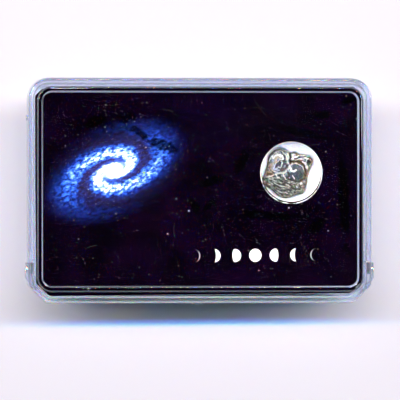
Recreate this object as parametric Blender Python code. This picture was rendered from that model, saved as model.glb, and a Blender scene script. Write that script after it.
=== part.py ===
"""Iron meteorite nugget shown in a small hinged clear box.

The box stands on its foot ring with the lid up. +X is to the right and +Y away
from the hinge when the box is looked at from above, and the origin is the middle
of the box on the surface that it stands on. Sizes are in metres.
"""
import math

import bmesh
import bpy
from mathutils import Vector, noise

MM = 0.001

# Case outline, seen from above at the parting line
CASE_HALF_X = 27.8 * MM
CASE_HALF_Y = 18.25 * MM
FRONT_RADIUS = 3.5 * MM
REAR_CUT = 3.0 * MM
REAR_SOFT = 1.2 * MM
QUARTER_STEPS = 8

# Heights
FOOT_HEIGHT = 0.4 * MM
FLOOR_TOP = 1.4 * MM
PARTING = 9.5 * MM
PARTING_GAP = 0.1 * MM
PLATE_UNDER = 12.6 * MM
PLATE_TOP = 13.5 * MM
BEAD_TOP = 14.0 * MM

# Walls of the tray and the lid
BASE_WALL = 1.1 * MM
LID_WALL = 0.85 * MM
BASE_DRAFT = 0.3 * MM
LID_DRAFT = 0.22 * MM
EDGE_FILLET = 0.35 * MM
FILLET_STEPS = 3
LIP_INSET = 0.65 * MM
LIP_HEIGHT = 0.9 * MM
LIP_END_Y = -9.8 * MM
REBATE_INSET = 0.43 * MM
REBATE_HEIGHT = 1.15 * MM
REBATE_END_Y = -10.3 * MM
REAR_BEVEL_WIDTH = 0.85 * MM
REAR_BEVEL_HEIGHT = 0.75 * MM

# Stacking bead on the lid and the foot ring that fits inside it
BEAD_HALF_X = 25.75 * MM
BEAD_HALF_Y = 16.0 * MM
BEAD_RADIUS = 1.9 * MM
BEAD_BASE = 1.0 * MM
BEAD_CREST = 0.5 * MM
BEAD_SHIFT_Y = 0.2 * MM
FOOT_HALF_X = 24.4 * MM
FOOT_HALF_Y = 14.7 * MM
FOOT_RADIUS = 1.5 * MM
FOOT_WIDTH = 0.9 * MM

# Hinge
HINGE_Y = -14.6 * MM
HINGE_Z = 4.4 * MM
PIN_RADIUS = 0.8 * MM
SOCKET_RADIUS = 0.95 * MM
PIN_TIP_X = 26.0 * MM
SIDE_SET_IN_X = 26.75 * MM
SIDE_SET_IN_INNER_X = 25.85 * MM
SET_IN_FRONT_Y = -11.35 * MM
INNER_STEP_Y = -10.4 * MM
LEDGE_Z = 2.4 * MM
EAR_INNER_X = 26.95 * MM
EAR_OUTER_X = 28.05 * MM
EAR_FRONT_Y = -11.6 * MM
EAR_REAR_Y = -16.6 * MM
EAR_TOP_Z = 11.8 * MM
EAR_RADIUS = 1.75 * MM
EAR_ROUND_STEPS = 10
PIN_STEPS = 20

# Small moulding marks
NUB_Y = 11.7 * MM
NUB_SIZE = (0.45 * MM, 0.8 * MM, 1.1 * MM)
NUB_PROUD = 0.15 * MM
GATE_X = -0.2 * MM
GATE_Z = 7.4 * MM
GATE_RADIUS = 0.65 * MM
GATE_PROUD = 0.3 * MM

# Foam, card and the hole in them
FOAM_INSET = 1.55 * MM
FOAM_REAR_HALF_X = 25.45 * MM
FOAM_STEP_Y = -9.9 * MM
FOAM_BOTTOM = 1.65 * MM
FOAM_TOP = 11.5 * MM
POCKET_FLOOR = 10.2 * MM
POCKET_TOP_RADIUS = 4.95 * MM
POCKET_FLOOR_RADIUS = 4.0 * MM
CARD_SIZE = (52.6 * MM, 33.3 * MM)
CARD_FRONT_CUT = 1.2 * MM
CARD_REAR_CUT = 2.1 * MM
CARD_BOTTOM = 11.8 * MM
CARD_TOP = 12.15 * MM
CARD_CENTRE = (-0.2 * MM, -0.2 * MM)
CARD_TURN = math.radians(0.5)
HOLE_CENTRE = (14.7 * MM, 2.87 * MM)
HOLE_RADIUS = 5.0 * MM
HOLE_BEVEL = 0.28 * MM
HOLE_STEPS = 48

# Nugget: outline seen from above, as offsets from its centre in millimetres
STONE_CENTRE = (14.2 * MM, 2.75 * MM, 9.75 * MM)
STONE_HALF_HEIGHT = 1.75 * MM
STONE_SUBDIVISIONS = 5
STONE_GAP = 0.3 * MM
STONE_OUTLINE = (
    (3.9, 1.2), (4.1, 1.85), (3.85, 2.5), (3.1, 2.9), (2.0, 3.1), (1.2, 3.5),
    (0.5, 3.4), (-0.4, 3.75), (-1.4, 3.9), (-2.2, 3.6), (-2.9, 2.9), (-3.1, 1.8),
    (-3.35, 0.8), (-3.7, -0.2), (-4.1, -1.4), (-3.4, -1.95), (-2.6, -2.5), (-2.0, -3.1),
    (-1.0, -3.75), (-0.2, -3.9), (0.7, -3.75), (1.6, -3.35), (2.55, -3.1), (2.9, -2.55),
    (3.2, -1.3), (3.3, -0.4), (3.6, 0.5),
)


def make_material(name, colour, roughness, metallic=0.0, transmission=0.0, ior=1.5):
    """Returns a Principled material with the given finish."""
    material = bpy.data.materials.new(name)
    material.use_nodes = True
    shader = material.node_tree.nodes["Principled BSDF"]
    shader.inputs["Base Color"].default_value = (*colour, 1.0)
    shader.inputs["Roughness"].default_value = roughness
    shader.inputs["Metallic"].default_value = metallic
    shader.inputs["Transmission Weight"].default_value = transmission
    shader.inputs["IOR"].default_value = ior
    return material


def link_object(name, mesh):
    """Puts a mesh into the scene under this name."""
    part = bpy.data.objects.new(name, mesh)
    bpy.context.scene.collection.objects.link(part)
    return part


def dress(part, material):
    """Gives a part its material."""
    part.data.materials.append(material)
    return part


def round_corners(corners):
    """Turns (x, y, radius) corners, counter-clockwise, into outline points with round corners."""
    points = []
    for index, (x, y, radius) in enumerate(corners):
        here = Vector((x, y))
        if radius <= 0:
            points.append(here)
            continue
        back = (Vector(corners[index - 1][:2]) - here).normalized()
        ahead = (Vector(corners[(index + 1) % len(corners)][:2]) - here).normalized()
        half = back.angle(ahead) / 2
        turn = math.pi - 2 * half
        centre = here + (back + ahead).normalized() * radius / math.sin(half)
        spoke = here + back * radius / math.tan(half) - centre
        first = math.atan2(spoke.y, spoke.x)
        steps = max(2, round(QUARTER_STEPS * turn / (math.pi / 2)))
        for step in range(steps + 1):
            angle = first + turn * step / steps
            points.append(centre + radius * Vector((math.cos(angle), math.sin(angle))))
    return points


def case_corners(inset, rear_inset=0.0):
    """Corners of the case outline moved inwards; rear_inset moves the rear sides further in."""
    half_x = CASE_HALF_X - inset
    front = CASE_HALF_Y - inset
    rear = front - rear_inset
    corner_sum = CASE_HALF_X + CASE_HALF_Y - REAR_CUT - (inset + rear_inset) * math.sqrt(2)
    radius = FRONT_RADIUS - inset
    side_end = half_x - corner_sum
    rear_end = corner_sum - rear
    return [
        (half_x, front, radius),
        (-half_x, front, radius),
        (-half_x, side_end, REAR_SOFT),
        (-rear_end, -rear, REAR_SOFT),
        (rear_end, -rear, REAR_SOFT),
        (half_x, side_end, REAR_SOFT),
    ]


def case_outline(inset, rear_inset=0.0):
    """Outline of the case, moved inwards."""
    return round_corners(case_corners(inset, rear_inset))


def stepped_outline(inset, rear_half_x, step_y):
    """Outline inside the tray: behind step_y the side walls stand further in."""
    corners = case_corners(inset)
    rear_end = corners[4][0]
    rear = corners[4][1]
    side_end = rear_half_x - (rear_end - rear)
    return round_corners([
        corners[0],
        corners[1],
        (corners[1][0], step_y, 0.0),
        (-rear_half_x, step_y, 0.0),
        (-rear_half_x, side_end, REAR_SOFT),
        corners[3],
        corners[4],
        (rear_half_x, side_end, REAR_SOFT),
        (rear_half_x, step_y, 0.0),
        (corners[0][0], step_y, 0.0),
    ])


def front_outline(inset, end_y):
    """Outline of the front part of the case, cut off square at end_y."""
    right, left = case_corners(inset)[:2]
    return round_corners([right, left, (left[0], end_y, 0.0), (right[0], end_y, 0.0)])


def rounded_box_outline(half_x, half_y, radius, shift_y=0.0):
    """A rectangle with round corners."""
    return round_corners([
        (half_x, half_y + shift_y, radius),
        (-half_x, half_y + shift_y, radius),
        (-half_x, -half_y + shift_y, radius),
        (half_x, -half_y + shift_y, radius),
    ])


def circle(centre, radius, steps):
    """Points of a circle, counter-clockwise."""
    turns = [2 * math.pi * (step + 0.5) / steps for step in range(steps)]
    return [Vector((centre[0] + radius * math.cos(a), centre[1] + radius * math.sin(a))) for a in turns]


def loft(name, layers, ring=False):
    """A closed body through (z, outline) layers, lowest first. A ring joins the last layer to the first."""
    mesh = bmesh.new()
    rows = [[mesh.verts.new((p.x, p.y, z)) for p in outline] for z, outline in layers]
    pairs = list(zip(rows, rows[1:]))
    if ring:
        pairs.append((rows[-1], rows[0]))
    else:
        mesh.faces.new(list(reversed(rows[0])))
        mesh.faces.new(rows[-1])
    for lower, upper in pairs:
        for index in range(len(lower)):
            after = (index + 1) % len(lower)
            mesh.faces.new((lower[index], lower[after], upper[after], upper[index]))
    bmesh.ops.recalc_face_normals(mesh, faces=mesh.faces)
    data = bpy.data.meshes.new(name)
    mesh.to_mesh(data)
    mesh.free()
    return link_object(name, data)


def prism(name, outline, bottom, top):
    """An upright prism."""
    return loft(name, [(bottom, outline), (top, outline)])


def block(name, low, high):
    """A box between two corners."""
    xs, ys = (low[0], high[0]), (low[1], high[1])
    outline = [Vector((xs[0], ys[0])), Vector((xs[1], ys[0])), Vector((xs[1], ys[1])), Vector((xs[0], ys[1]))]
    return prism(name, outline, low[2], high[2])


def side_plate(name, outline, x_from, x_to):
    """A plate with a (y, z) outline that reaches from x_from to x_to."""
    plate = prism(name, outline, x_from, x_to)
    for vertex in plate.data.vertices:
        vertex.co = Vector((vertex.co.z, vertex.co.x, vertex.co.y))
    return plate


def boolean(part, tool, operation):
    """Cuts the tool from the part, or joins it, and keeps the tool as a wire guide."""
    tool.hide_render = True
    tool.display_type = "WIRE"
    modifier = part.modifiers.new(f"{operation.lower()}_{tool.name}", "BOOLEAN")
    modifier.operation = operation
    modifier.solver = "EXACT"
    modifier.object = tool


def cut(part, *tools):
    """Takes the tools' bodies out of the part."""
    for tool in tools:
        boolean(part, tool, "DIFFERENCE")


def join(part, *tools):
    """Fuses the tools' bodies to the part."""
    for tool in tools:
        boolean(part, tool, "UNION")


def fillet_layers(z_edge, inset, direction):
    """(z, inset) steps of a quarter round that starts at a wall and ends on a flat face."""
    layers = []
    for step in range(FILLET_STEPS + 1):
        angle = math.pi / 2 * step / FILLET_STEPS
        rise = EDGE_FILLET * (1 - math.sin(angle))
        layers.append((z_edge - direction * rise, inset + EDGE_FILLET * (1 - math.cos(angle))))
    return layers


# Clear tray

def foot_ring():
    """The ring under the floor that the box stands on."""
    half = FOOT_WIDTH / 2
    narrow = half - 0.1 * MM
    sunk = FOOT_HEIGHT + 0.3 * MM
    profile = [(-narrow, 0.0), (-half, sunk), (half, sunk), (narrow, 0.0)]
    layers = [
        (z, rounded_box_outline(FOOT_HALF_X + side, FOOT_HALF_Y + side, FOOT_RADIUS + side))
        for side, z in profile
    ]
    return loft("foot_ring", layers, ring=True)


def gate_stub():
    """The broken-off moulding gate in the middle of the hinge side."""
    stub = prism("gate_stub", circle((0, 0), GATE_RADIUS, PIN_STEPS), 0.0, GATE_PROUD + 0.4 * MM)
    rear_face = -CASE_HALF_Y + 0.1 * MM
    for vertex in stub.data.vertices:
        x, y, z = vertex.co
        vertex.co = (GATE_X + x, rear_face + 0.4 * MM - z, GATE_Z + y)
    return stub


def build_base(material):
    """The tray with its lip, set-in hinge sides, pin sockets, foot ring and gate stub."""
    rim = PARTING - PARTING_GAP
    layers = [(z, case_outline(inset)) for z, inset in reversed(fillet_layers(FOOT_HEIGHT, BASE_DRAFT, -1))]
    layers.append((rim - REAR_BEVEL_HEIGHT, case_outline(0.02 * MM)))
    layers.append((rim, case_outline(0.0, REAR_BEVEL_WIDTH)))
    base = loft("box_base", layers)

    lip_top = rim + LIP_HEIGHT
    join(base, prism("lip_block", front_outline(LIP_INSET, LIP_END_Y), rim - 1.5 * MM, lip_top))
    join(base, foot_ring(), gate_stub())

    floor_inset = BASE_WALL + BASE_DRAFT * 0.8
    inner_shift = BASE_DRAFT * 0.3
    cut(base, loft("tray_cavity", [
        (FLOOR_TOP, stepped_outline(floor_inset + 0.3 * MM, SIDE_SET_IN_INNER_X - inner_shift - 0.3 * MM, INNER_STEP_Y)),
        (FLOOR_TOP + 0.3 * MM, stepped_outline(floor_inset, SIDE_SET_IN_INNER_X - inner_shift, INNER_STEP_Y)),
        (lip_top + 1 * MM, stepped_outline(BASE_WALL, SIDE_SET_IN_INNER_X, INNER_STEP_Y)),
    ]))
    for side, word in ((1, "right"), (-1, "left")):
        xs = sorted((side * SIDE_SET_IN_X, side * (EAR_OUTER_X + 1 * MM)))
        cut(base, block(
            f"ear_recess_{word}",
            (xs[0], -CASE_HALF_Y - 1 * MM, LEDGE_Z),
            (xs[1], SET_IN_FRONT_Y, PARTING + 2 * MM),
        ))
        xs = sorted((side * (SIDE_SET_IN_INNER_X - 1 * MM), side * (SIDE_SET_IN_X + 1 * MM)))
        socket = circle((HINGE_Y, HINGE_Z), SOCKET_RADIUS, PIN_STEPS)
        cut(base, side_plate(f"pin_socket_{word}", socket, xs[0], xs[1]))
    return dress(base, material)


# Clear lid

def bead_ring():
    """The raised ring on the lid that the foot of the next box drops into."""
    half_base, half_crest = BEAD_BASE / 2, BEAD_CREST / 2
    sunk = PLATE_TOP - 0.2 * MM
    profile = [(-half_base, sunk), (-half_base, PLATE_TOP), (-half_crest, BEAD_TOP),
               (half_crest, BEAD_TOP), (half_base, PLATE_TOP), (half_base, sunk)]
    layers = [
        (z, rounded_box_outline(BEAD_HALF_X + side, BEAD_HALF_Y + side, BEAD_RADIUS + side, BEAD_SHIFT_Y))
        for side, z in profile
    ]
    return loft("bead_ring", layers, ring=True)


def ear_outline():
    """(y, z) outline of a hinge ear: a tongue with a round end about the pin."""
    points = [
        Vector((EAR_REAR_Y, PARTING + 1.2 * MM)),
        Vector((EAR_REAR_Y, PARTING - 1.0 * MM)),
    ]
    for step in range(EAR_ROUND_STEPS + 1):
        angle = math.pi + math.pi * step / EAR_ROUND_STEPS
        points.append(Vector((HINGE_Y + EAR_RADIUS * math.cos(angle), HINGE_Z + EAR_RADIUS * math.sin(angle))))
    points += [
        Vector((EAR_FRONT_Y, HINGE_Z + 2.2 * MM)),
        Vector((EAR_FRONT_Y, EAR_TOP_Z)),
        Vector((EAR_FRONT_Y - 1.2 * MM, EAR_TOP_Z + 0.4 * MM)),
        Vector((EAR_REAR_Y + 1.8 * MM, EAR_TOP_Z + 0.4 * MM)),
    ]
    return points


def ear_corner_cutter(side, word):
    """Takes the ear's rear outer edge off along the line of the cut corner."""
    outer = EAR_OUTER_X + 1 * MM
    points = [
        Vector((EAR_OUTER_X, -14.0 * MM)),
        Vector((27.35 * MM, -15.35 * MM)),
        Vector((EAR_INNER_X - 0.4 * MM, -16.5 * MM)),
        Vector((EAR_INNER_X - 0.4 * MM, -19.0 * MM)),
        Vector((outer, -19.0 * MM)),
        Vector((outer, -12.2 * MM)),
    ]
    outline = [Vector((side * p.x, p.y)) for p in points]
    if side > 0:
        outline.reverse()
    return prism(f"ear_corner_{word}", outline, 0.0, PLATE_TOP)


def build_ear(side, word):
    """One hinge ear with its inward pin."""
    xs = sorted((side * EAR_INNER_X, side * EAR_OUTER_X))
    ear = side_plate(f"ear_{word}", ear_outline(), xs[0], xs[1])
    cut(ear, ear_corner_cutter(side, word))
    xs = sorted((side * PIN_TIP_X, side * (EAR_INNER_X + 0.4 * MM)))
    pin = circle((HINGE_Y, HINGE_Z), PIN_RADIUS, PIN_STEPS)
    join(ear, side_plate(f"pin_{word}", pin, xs[0], xs[1]))
    return ear


def build_nub(side, word):
    """The small snap nub on a short side of the lid."""
    outer = CASE_HALF_X + NUB_PROUD
    xs = sorted((side * outer, side * (outer - NUB_SIZE[0])))
    bottom = PARTING + 0.15 * MM
    return block(
        f"nub_{word}",
        (xs[0], NUB_Y - NUB_SIZE[1] / 2, bottom),
        (xs[1], NUB_Y + NUB_SIZE[1] / 2, bottom + NUB_SIZE[2]),
    )


def build_lid(material):
    """The lid with its plate, skirt, bead, hinge ears, pins and nubs. Its origin is on the hinge axis."""
    layers = [(PARTING, case_outline(0.0))]
    layers += [(z, case_outline(inset)) for z, inset in fillet_layers(PLATE_TOP, LID_DRAFT, 1)]
    lid = loft("box_lid", layers)
    inner_fillet = 0.3 * MM
    cut(
        lid,
        loft("lid_cavity", [
            (PARTING - 1 * MM, case_outline(LID_WALL)),
            (PLATE_UNDER - inner_fillet, case_outline(LID_WALL + 0.15 * MM)),
            (PLATE_UNDER, case_outline(LID_WALL + 0.15 * MM + inner_fillet)),
        ]),
        prism("lip_rebate", front_outline(REBATE_INSET, REBATE_END_Y), PARTING - 1 * MM, PARTING + REBATE_HEIGHT),
    )
    join(lid, bead_ring())
    for side, word in ((1, "right"), (-1, "left")):
        join(lid, build_ear(side, word), build_nub(side, word))
    dress(lid, material)
    hinge = Vector((0, HINGE_Y, HINGE_Z))
    for vertex in lid.data.vertices:
        vertex.co -= hinge
    lid.location = hinge
    return lid


# Foam and card

def build_foam(material):
    """The white block under the card, with a round pocket and a dimple that holds the nugget."""
    foam = prism("foam_insert", stepped_outline(FOAM_INSET, FOAM_REAR_HALF_X, FOAM_STEP_Y), FOAM_BOTTOM, FOAM_TOP)
    slope = (POCKET_TOP_RADIUS - POCKET_FLOOR_RADIUS) / (FOAM_TOP - POCKET_FLOOR)
    above = 0.5 * MM
    pocket = loft("pocket", [
        (POCKET_FLOOR, circle(HOLE_CENTRE, POCKET_FLOOR_RADIUS, HOLE_STEPS)),
        (FOAM_TOP + above, circle(HOLE_CENTRE, POCKET_TOP_RADIUS + slope * above, HOLE_STEPS)),
    ])
    cut(foam, pocket, stone_mesh("dimple", subdivisions=4, grown=STONE_GAP, carved=False))
    return dress(foam, material)


def build_card(material):
    """The thin card with clipped corners and a punched hole."""
    half_x, half_y = CARD_SIZE[0] / 2, CARD_SIZE[1] / 2
    outline = []
    for sx, sy, order in ((1, 1, 1), (-1, 1, -1), (-1, -1, 1), (1, -1, -1)):
        clip = CARD_FRONT_CUT if sy > 0 else CARD_REAR_CUT
        corners = [(half_x, half_y - clip), (half_x - clip, half_y)]
        outline += [Vector((sx * x, sy * y)) for x, y in corners[::order]]
    turned = []
    for point in outline:
        x = point.x * math.cos(CARD_TURN) - point.y * math.sin(CARD_TURN)
        y = point.x * math.sin(CARD_TURN) + point.y * math.cos(CARD_TURN)
        turned.append(Vector((CARD_CENTRE[0] + x, CARD_CENTRE[1] + y)))
    card = prism("printed_card", turned, CARD_BOTTOM, CARD_TOP)
    slope = HOLE_BEVEL / (CARD_TOP - CARD_BOTTOM)
    over = 0.5 * MM
    cut(card, loft("punched_hole", [
        (CARD_BOTTOM - over, circle(HOLE_CENTRE, HOLE_RADIUS - HOLE_BEVEL - slope * over, HOLE_STEPS)),
        (CARD_TOP + over, circle(HOLE_CENTRE, HOLE_RADIUS + slope * over, HOLE_STEPS)),
    ]))
    return dress(card, material)


# Iron nugget. Places and sizes on it are in millimetres from its centre.

def smooth_step(low, high, value):
    """0 below low, 1 above high, and smooth between."""
    t = min(1.0, max(0.0, (value - low) / (high - low)))
    return t * t * (3 - 2 * t)


def outline_radius(angle):
    """Distance from the nugget's centre to its outline in this direction."""
    spokes = sorted((math.atan2(y, x), math.hypot(x, y)) for x, y in STONE_OUTLINE)
    count = len(spokes)
    after = next((i for i, spoke in enumerate(spokes) if spoke[0] > angle), 0)
    ring = [spokes[(after + k) % count] for k in (-2, -1, 0, 1)]
    span = (ring[2][0] - ring[1][0]) % (2 * math.pi)
    t = ((angle - ring[1][0]) % (2 * math.pi)) / span
    r0, r1, r2, r3 = (r for _, r in ring)
    return r1 + 0.5 * t * (r2 - r0 + t * (2 * r0 - 5 * r1 + 4 * r2 - r3 + t * (3 * (r1 - r2) + r3 - r0)))


def lobe(x, y, centre, size, turn, height, sharpness=0.6):
    """Height of an oval bump with a crisp edge."""
    dx, dy = x - centre[0], y - centre[1]
    c, s = math.cos(math.radians(turn)), math.sin(math.radians(turn))
    across = ((dx * c + dy * s) / size[0]) ** 2 + ((dy * c - dx * s) / size[1]) ** 2
    return height * (1 - across) ** sharpness if across < 1 else 0.0


def line_distance(x, y, points):
    """Distance from (x, y) to a line through the points."""
    nearest = 1e9
    here = Vector((x, y))
    for start, end in zip(points, points[1:]):
        a, b = Vector(start), Vector(end)
        along = b - a
        t = min(1.0, max(0.0, (here - a).dot(along) / along.length_squared))
        nearest = min(nearest, (here - a - along * t).length)
    return nearest


def crest(x, y, points, width, height):
    """Height of a narrow ridge, or of a groove where height is negative."""
    return height * math.exp(-((line_distance(x, y, points) / width) ** 2))


def top_relief(x, y):
    """How far the top stands above or below the plain pebble."""
    round_knob = lobe(x, y, (1.6, -0.08), (1.3, 1.28), 0, 0.8)
    shoulder = lobe(x, y, (0.15, -0.45), (1.35, 0.85), -35, 0.55)
    grey_finger = lobe(x, y, (0.0, 3.0), (0.4, 0.95), 20, 0.45)
    small_block = lobe(x, y, (1.2, 2.95), (0.75, 0.5), 5, 0.4)
    small_bead = lobe(x, y, (0.8, 2.2), (0.32, 0.32), 0, 0.4)
    lower_mass = 0.5 * smooth_step(-0.35, -1.0, y + 0.12 * x) * smooth_step(2.6, 1.6, x)
    z = max(round_knob, shoulder, grey_finger, small_block, small_bead, lower_mass)
    z += lobe(x, y, (-1.05, 0.95), (1.3, 1.0), 15, -0.65, 0.8)
    z += crest(x, y, [(-0.75, 1.7), (-1.05, 0.9)], 0.18, 0.3)
    z += crest(x, y, [(-2.85, 2.5), (-2.4, 3.0), (-1.9, 3.35), (-1.0, 3.4), (-0.4, 2.6), (0.1, 1.9)], 0.28, 0.35)
    z += crest(x, y, [(-2.3, 0.6), (-1.75, -0.05), (-0.85, -0.3), (-0.25, 0.0), (0.2, 0.6)], 0.2, 0.4)
    z += crest(x, y, [(0.5, 3.5), (0.5, 1.4)], 0.2, -0.55)
    z += crest(x, y, [(1.2, 2.2), (1.9, 2.6), (2.7, 2.75), (3.3, 2.6), (3.8, 2.1)], 0.26, 0.5)
    z += crest(x, y, [(0.5, 1.5), (1.4, 1.75), (2.2, 1.6), (2.75, 0.9), (2.95, 0.0), (2.6, -1.1)], 0.28, -0.45)
    z += lobe(x, y, (3.4, 1.5), (0.5, 0.45), 0, -0.35, 1.0)
    z += crest(x, y, [(-4.0, -0.85), (-3.1, -0.75), (-2.1, -0.5), (-1.6, -0.6), (-1.2, -1.1)], 0.2, 0.35)
    z += lobe(x, y, (-2.9, 0.05), (0.7, 0.65), 0, -0.35, 1.0)
    z += crest(x, y, [(1.4, -1.7), (2.1, -2.75), (2.4, -1.7)], 0.2, 0.3)
    furrow = math.sin((y + 0.33 * x + 0.25 * noise.noise(Vector((x * 0.8, y * 0.8, 3.0)))) * 13.0)
    z += 0.1 * furrow * smooth_step(-1.0, -1.6, y)
    return z


def stone_point(direction, grown, carved):
    """Place of one surface point of the nugget, in millimetres from its centre."""
    flat = math.hypot(direction.x, direction.y)
    angle = math.atan2(direction.y, direction.x)
    reach = (outline_radius(angle) + grown) * flat ** 0.82
    x, y = reach * math.cos(angle), reach * math.sin(angle)
    half = STONE_HALF_HEIGHT / MM + grown
    z = math.copysign(abs(direction.z) ** 0.8, direction.z) * half
    if carved:
        z += top_relief(x, y) * smooth_step(0.1, 0.5, direction.z)
        swell = noise.fractal(direction * 2.3, 0.9, 2.0, 3) * smooth_step(0.35, -0.25, direction.z)
        x += 0.16 * swell * direction.x
        y += 0.16 * swell * direction.y
        z += 0.22 * swell * direction.z
    return Vector((x, y, z))


def stone_mesh(name, subdivisions, grown, carved):
    """The nugget's body. grown widens it all round, and a body that isn't carved has a plain top."""
    mesh = bmesh.new()
    bmesh.ops.create_icosphere(mesh, subdivisions=subdivisions, radius=1.0)
    for vertex in mesh.verts:
        point = stone_point(vertex.co.normalized(), grown / MM, carved)
        vertex.co = Vector(STONE_CENTRE) + point * MM
    data = bpy.data.meshes.new(name)
    mesh.to_mesh(data)
    mesh.free()
    return link_object(name, data)


def build_meteorite(material):
    """The iron nugget, one solid."""
    stone = stone_mesh("meteorite", STONE_SUBDIVISIONS, 0.0, True)
    stone.data.shade_smooth()
    return dress(stone, material)


def main():
    for old in list(bpy.data.objects):
        bpy.data.objects.remove(old)
    clear = make_material("clear_polystyrene", (0.96, 0.97, 1.0), 0.04, transmission=1.0, ior=1.59)
    foam = make_material("white_foam", (0.95, 0.95, 0.96), 0.9)
    ink = make_material("dark_printed_card", (0.01, 0.004, 0.02), 0.5)
    iron = make_material("etched_iron", (0.42, 0.43, 0.42), 0.35, metallic=1.0)
    build_base(clear)
    build_lid(clear)
    build_foam(foam)
    build_card(ink)
    build_meteorite(iron)


main()
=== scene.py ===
"""Looks of an iron meteorite nugget that is kept in a small hinged clear box.

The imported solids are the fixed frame. Each class holds the sizes of one part, builds its
mesh where its solid is, and dresses it. Sizes are in metres, and in millimetres where a
name ends in _mm or a class says so. +X is to the right, +Y away from the hinge and +Z out
of the lid.
"""

import logging
import math
from dataclasses import dataclass, replace
from enum import Enum
from typing import Iterable, Sequence

import bmesh
import bpy
import numpy as np
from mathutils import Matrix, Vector, noise


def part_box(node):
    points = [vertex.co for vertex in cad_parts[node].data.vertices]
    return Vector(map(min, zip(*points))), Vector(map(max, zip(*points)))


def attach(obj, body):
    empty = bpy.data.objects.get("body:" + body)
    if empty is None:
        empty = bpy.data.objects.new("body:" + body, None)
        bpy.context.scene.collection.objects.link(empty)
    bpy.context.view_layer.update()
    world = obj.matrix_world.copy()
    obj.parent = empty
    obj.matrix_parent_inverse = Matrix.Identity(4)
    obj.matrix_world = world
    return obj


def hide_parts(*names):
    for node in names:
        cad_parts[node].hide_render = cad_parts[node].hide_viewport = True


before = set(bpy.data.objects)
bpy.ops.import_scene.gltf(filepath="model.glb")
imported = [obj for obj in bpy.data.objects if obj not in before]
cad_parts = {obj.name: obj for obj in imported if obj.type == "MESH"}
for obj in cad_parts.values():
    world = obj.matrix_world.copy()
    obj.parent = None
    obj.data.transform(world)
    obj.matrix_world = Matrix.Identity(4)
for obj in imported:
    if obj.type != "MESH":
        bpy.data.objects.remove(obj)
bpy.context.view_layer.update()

MM = 0.001
LOG = logging.getLogger("nugget_box")

Colour = tuple[float, float, float]
Outline = list[Vector]
Layers = list[tuple[float, Outline]]
Piece = bpy.types.Object
Material = bpy.types.Material
Socket = bpy.types.NodeSocket

# Steps in a quarter turn of an outline's corner and of a prism's rounded edge
CORNER_STEPS = 16
EDGE_STEPS = 3
# The shortest mitre of a corner, as a share of its side's inset
MITRE_LIMIT = 0.5
# Vertices closer than this are one
MERGE_DISTANCE = 1e-7
# What the nugget's mesh carries for its material; the last marks painted highlight spots, and crest marks
# crests lightened as wear and painted highlight
CARRIED = ("crest", "hollow", "rough_zone", "brown", "pale", "painted_glint")


class Body(Enum):
    """The moving bodies of the box."""

    BOX = "box"
    LID = "lid"


class Side(Enum):
    """The two short sides, with the sign of their X."""

    RIGHT = 1
    LEFT = -1


# Outlines and solids


@dataclass(frozen=True)
class Corner:
    """A corner of an outline, counter-clockwise, with the radius that rounds it."""

    x: float
    y: float
    radius: float = 0.0


def round_off(corners: Sequence[Corner]) -> Outline:
    """Rounds the corners of an outline.

    Args:
        corners: The corners, counter-clockwise.

    Returns:
        The outline's points.
    """
    points: Outline = []
    for index, corner in enumerate(corners):
        here = Vector((corner.x, corner.y))
        if corner.radius <= 0:
            points.append(here)
            continue
        before, after = corners[index - 1], corners[(index + 1) % len(corners)]
        back = (Vector((before.x, before.y)) - here).normalized()
        ahead = (Vector((after.x, after.y)) - here).normalized()
        half = back.angle(ahead) / 2
        turn = math.pi - 2 * half
        centre = here + (back + ahead).normalized() * corner.radius / math.sin(half)
        spoke = here + back * corner.radius / math.tan(half) - centre
        first = math.atan2(spoke.y, spoke.x)
        steps = max(2, round(CORNER_STEPS * turn / (math.pi / 2)))
        for step in range(steps + 1):
            angle = first + turn * step / steps
            points.append(centre + corner.radius * Vector((math.cos(angle), math.sin(angle))))
    return points


def circle(centre: Sequence[float], radius: float, steps: int) -> Outline:
    """Returns the points of a circle, counter-clockwise."""
    turns = (2 * math.pi * (step + 0.5) / steps for step in range(steps))
    return [Vector((centre[0] + radius * math.cos(a), centre[1] + radius * math.sin(a))) for a in turns]


def shrink(outline: Outline, inset: float) -> Outline:
    """Moves every side of a counter-clockwise outline inwards.

    Args:
        outline: The points.
        inset: How far each side moves.

    Returns:
        As many points, each on its corner's middle line.
    """
    moved: Outline = []
    for index, point in enumerate(outline):
        incoming = (point - outline[index - 1]).normalized()
        outgoing = (outline[(index + 1) % len(outline)] - point).normalized()
        middle = (incoming + outgoing).normalized()
        inwards = Vector((-middle.y, middle.x))
        share = max(MITRE_LIMIT, inwards.dot(Vector((-incoming.y, incoming.x))))
        moved.append(point + inwards * inset / share)
    return moved


def add_object(name: str, data: bpy.types.ID) -> Piece:
    """Puts a mesh, a light or a camera into the scene as an object of this name.

    Args:
        name: The object's name.
        data: What the object shows.

    Returns:
        The new object.
    """
    part = bpy.data.objects.new(name, data)
    bpy.context.scene.collection.objects.link(part)
    return part


def keep(name: str, mesh: bmesh.types.BMesh) -> Piece:
    """Ends a mesh that is being built and puts it into the scene as an object of this name.

    Args:
        name: The object's name.
        mesh: The mesh, which is used up.

    Returns:
        The new object.
    """
    data = bpy.data.meshes.new(name)
    mesh.to_mesh(data)
    mesh.free()
    return add_object(name, data)


def skin(name: str, rows: Sequence[Sequence[Sequence[float]]]) -> Piece:
    """Builds a closed body through rows of points.

    Args:
        name: The object's name.
        rows: Rows of as many points each; the first and the last close its ends.

    Returns:
        The new object.
    """
    mesh = bmesh.new()
    loops = [[mesh.verts.new(point) for point in row] for row in rows]
    mesh.faces.new(list(reversed(loops[0])))
    mesh.faces.new(loops[-1])
    for lower, upper in zip(loops, loops[1:]):
        for index in range(len(lower)):
            after = (index + 1) % len(lower)
            mesh.faces.new((lower[index], lower[after], upper[after], upper[index]))
    bmesh.ops.recalc_face_normals(mesh, faces=mesh.faces)
    return keep(name, mesh)


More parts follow.
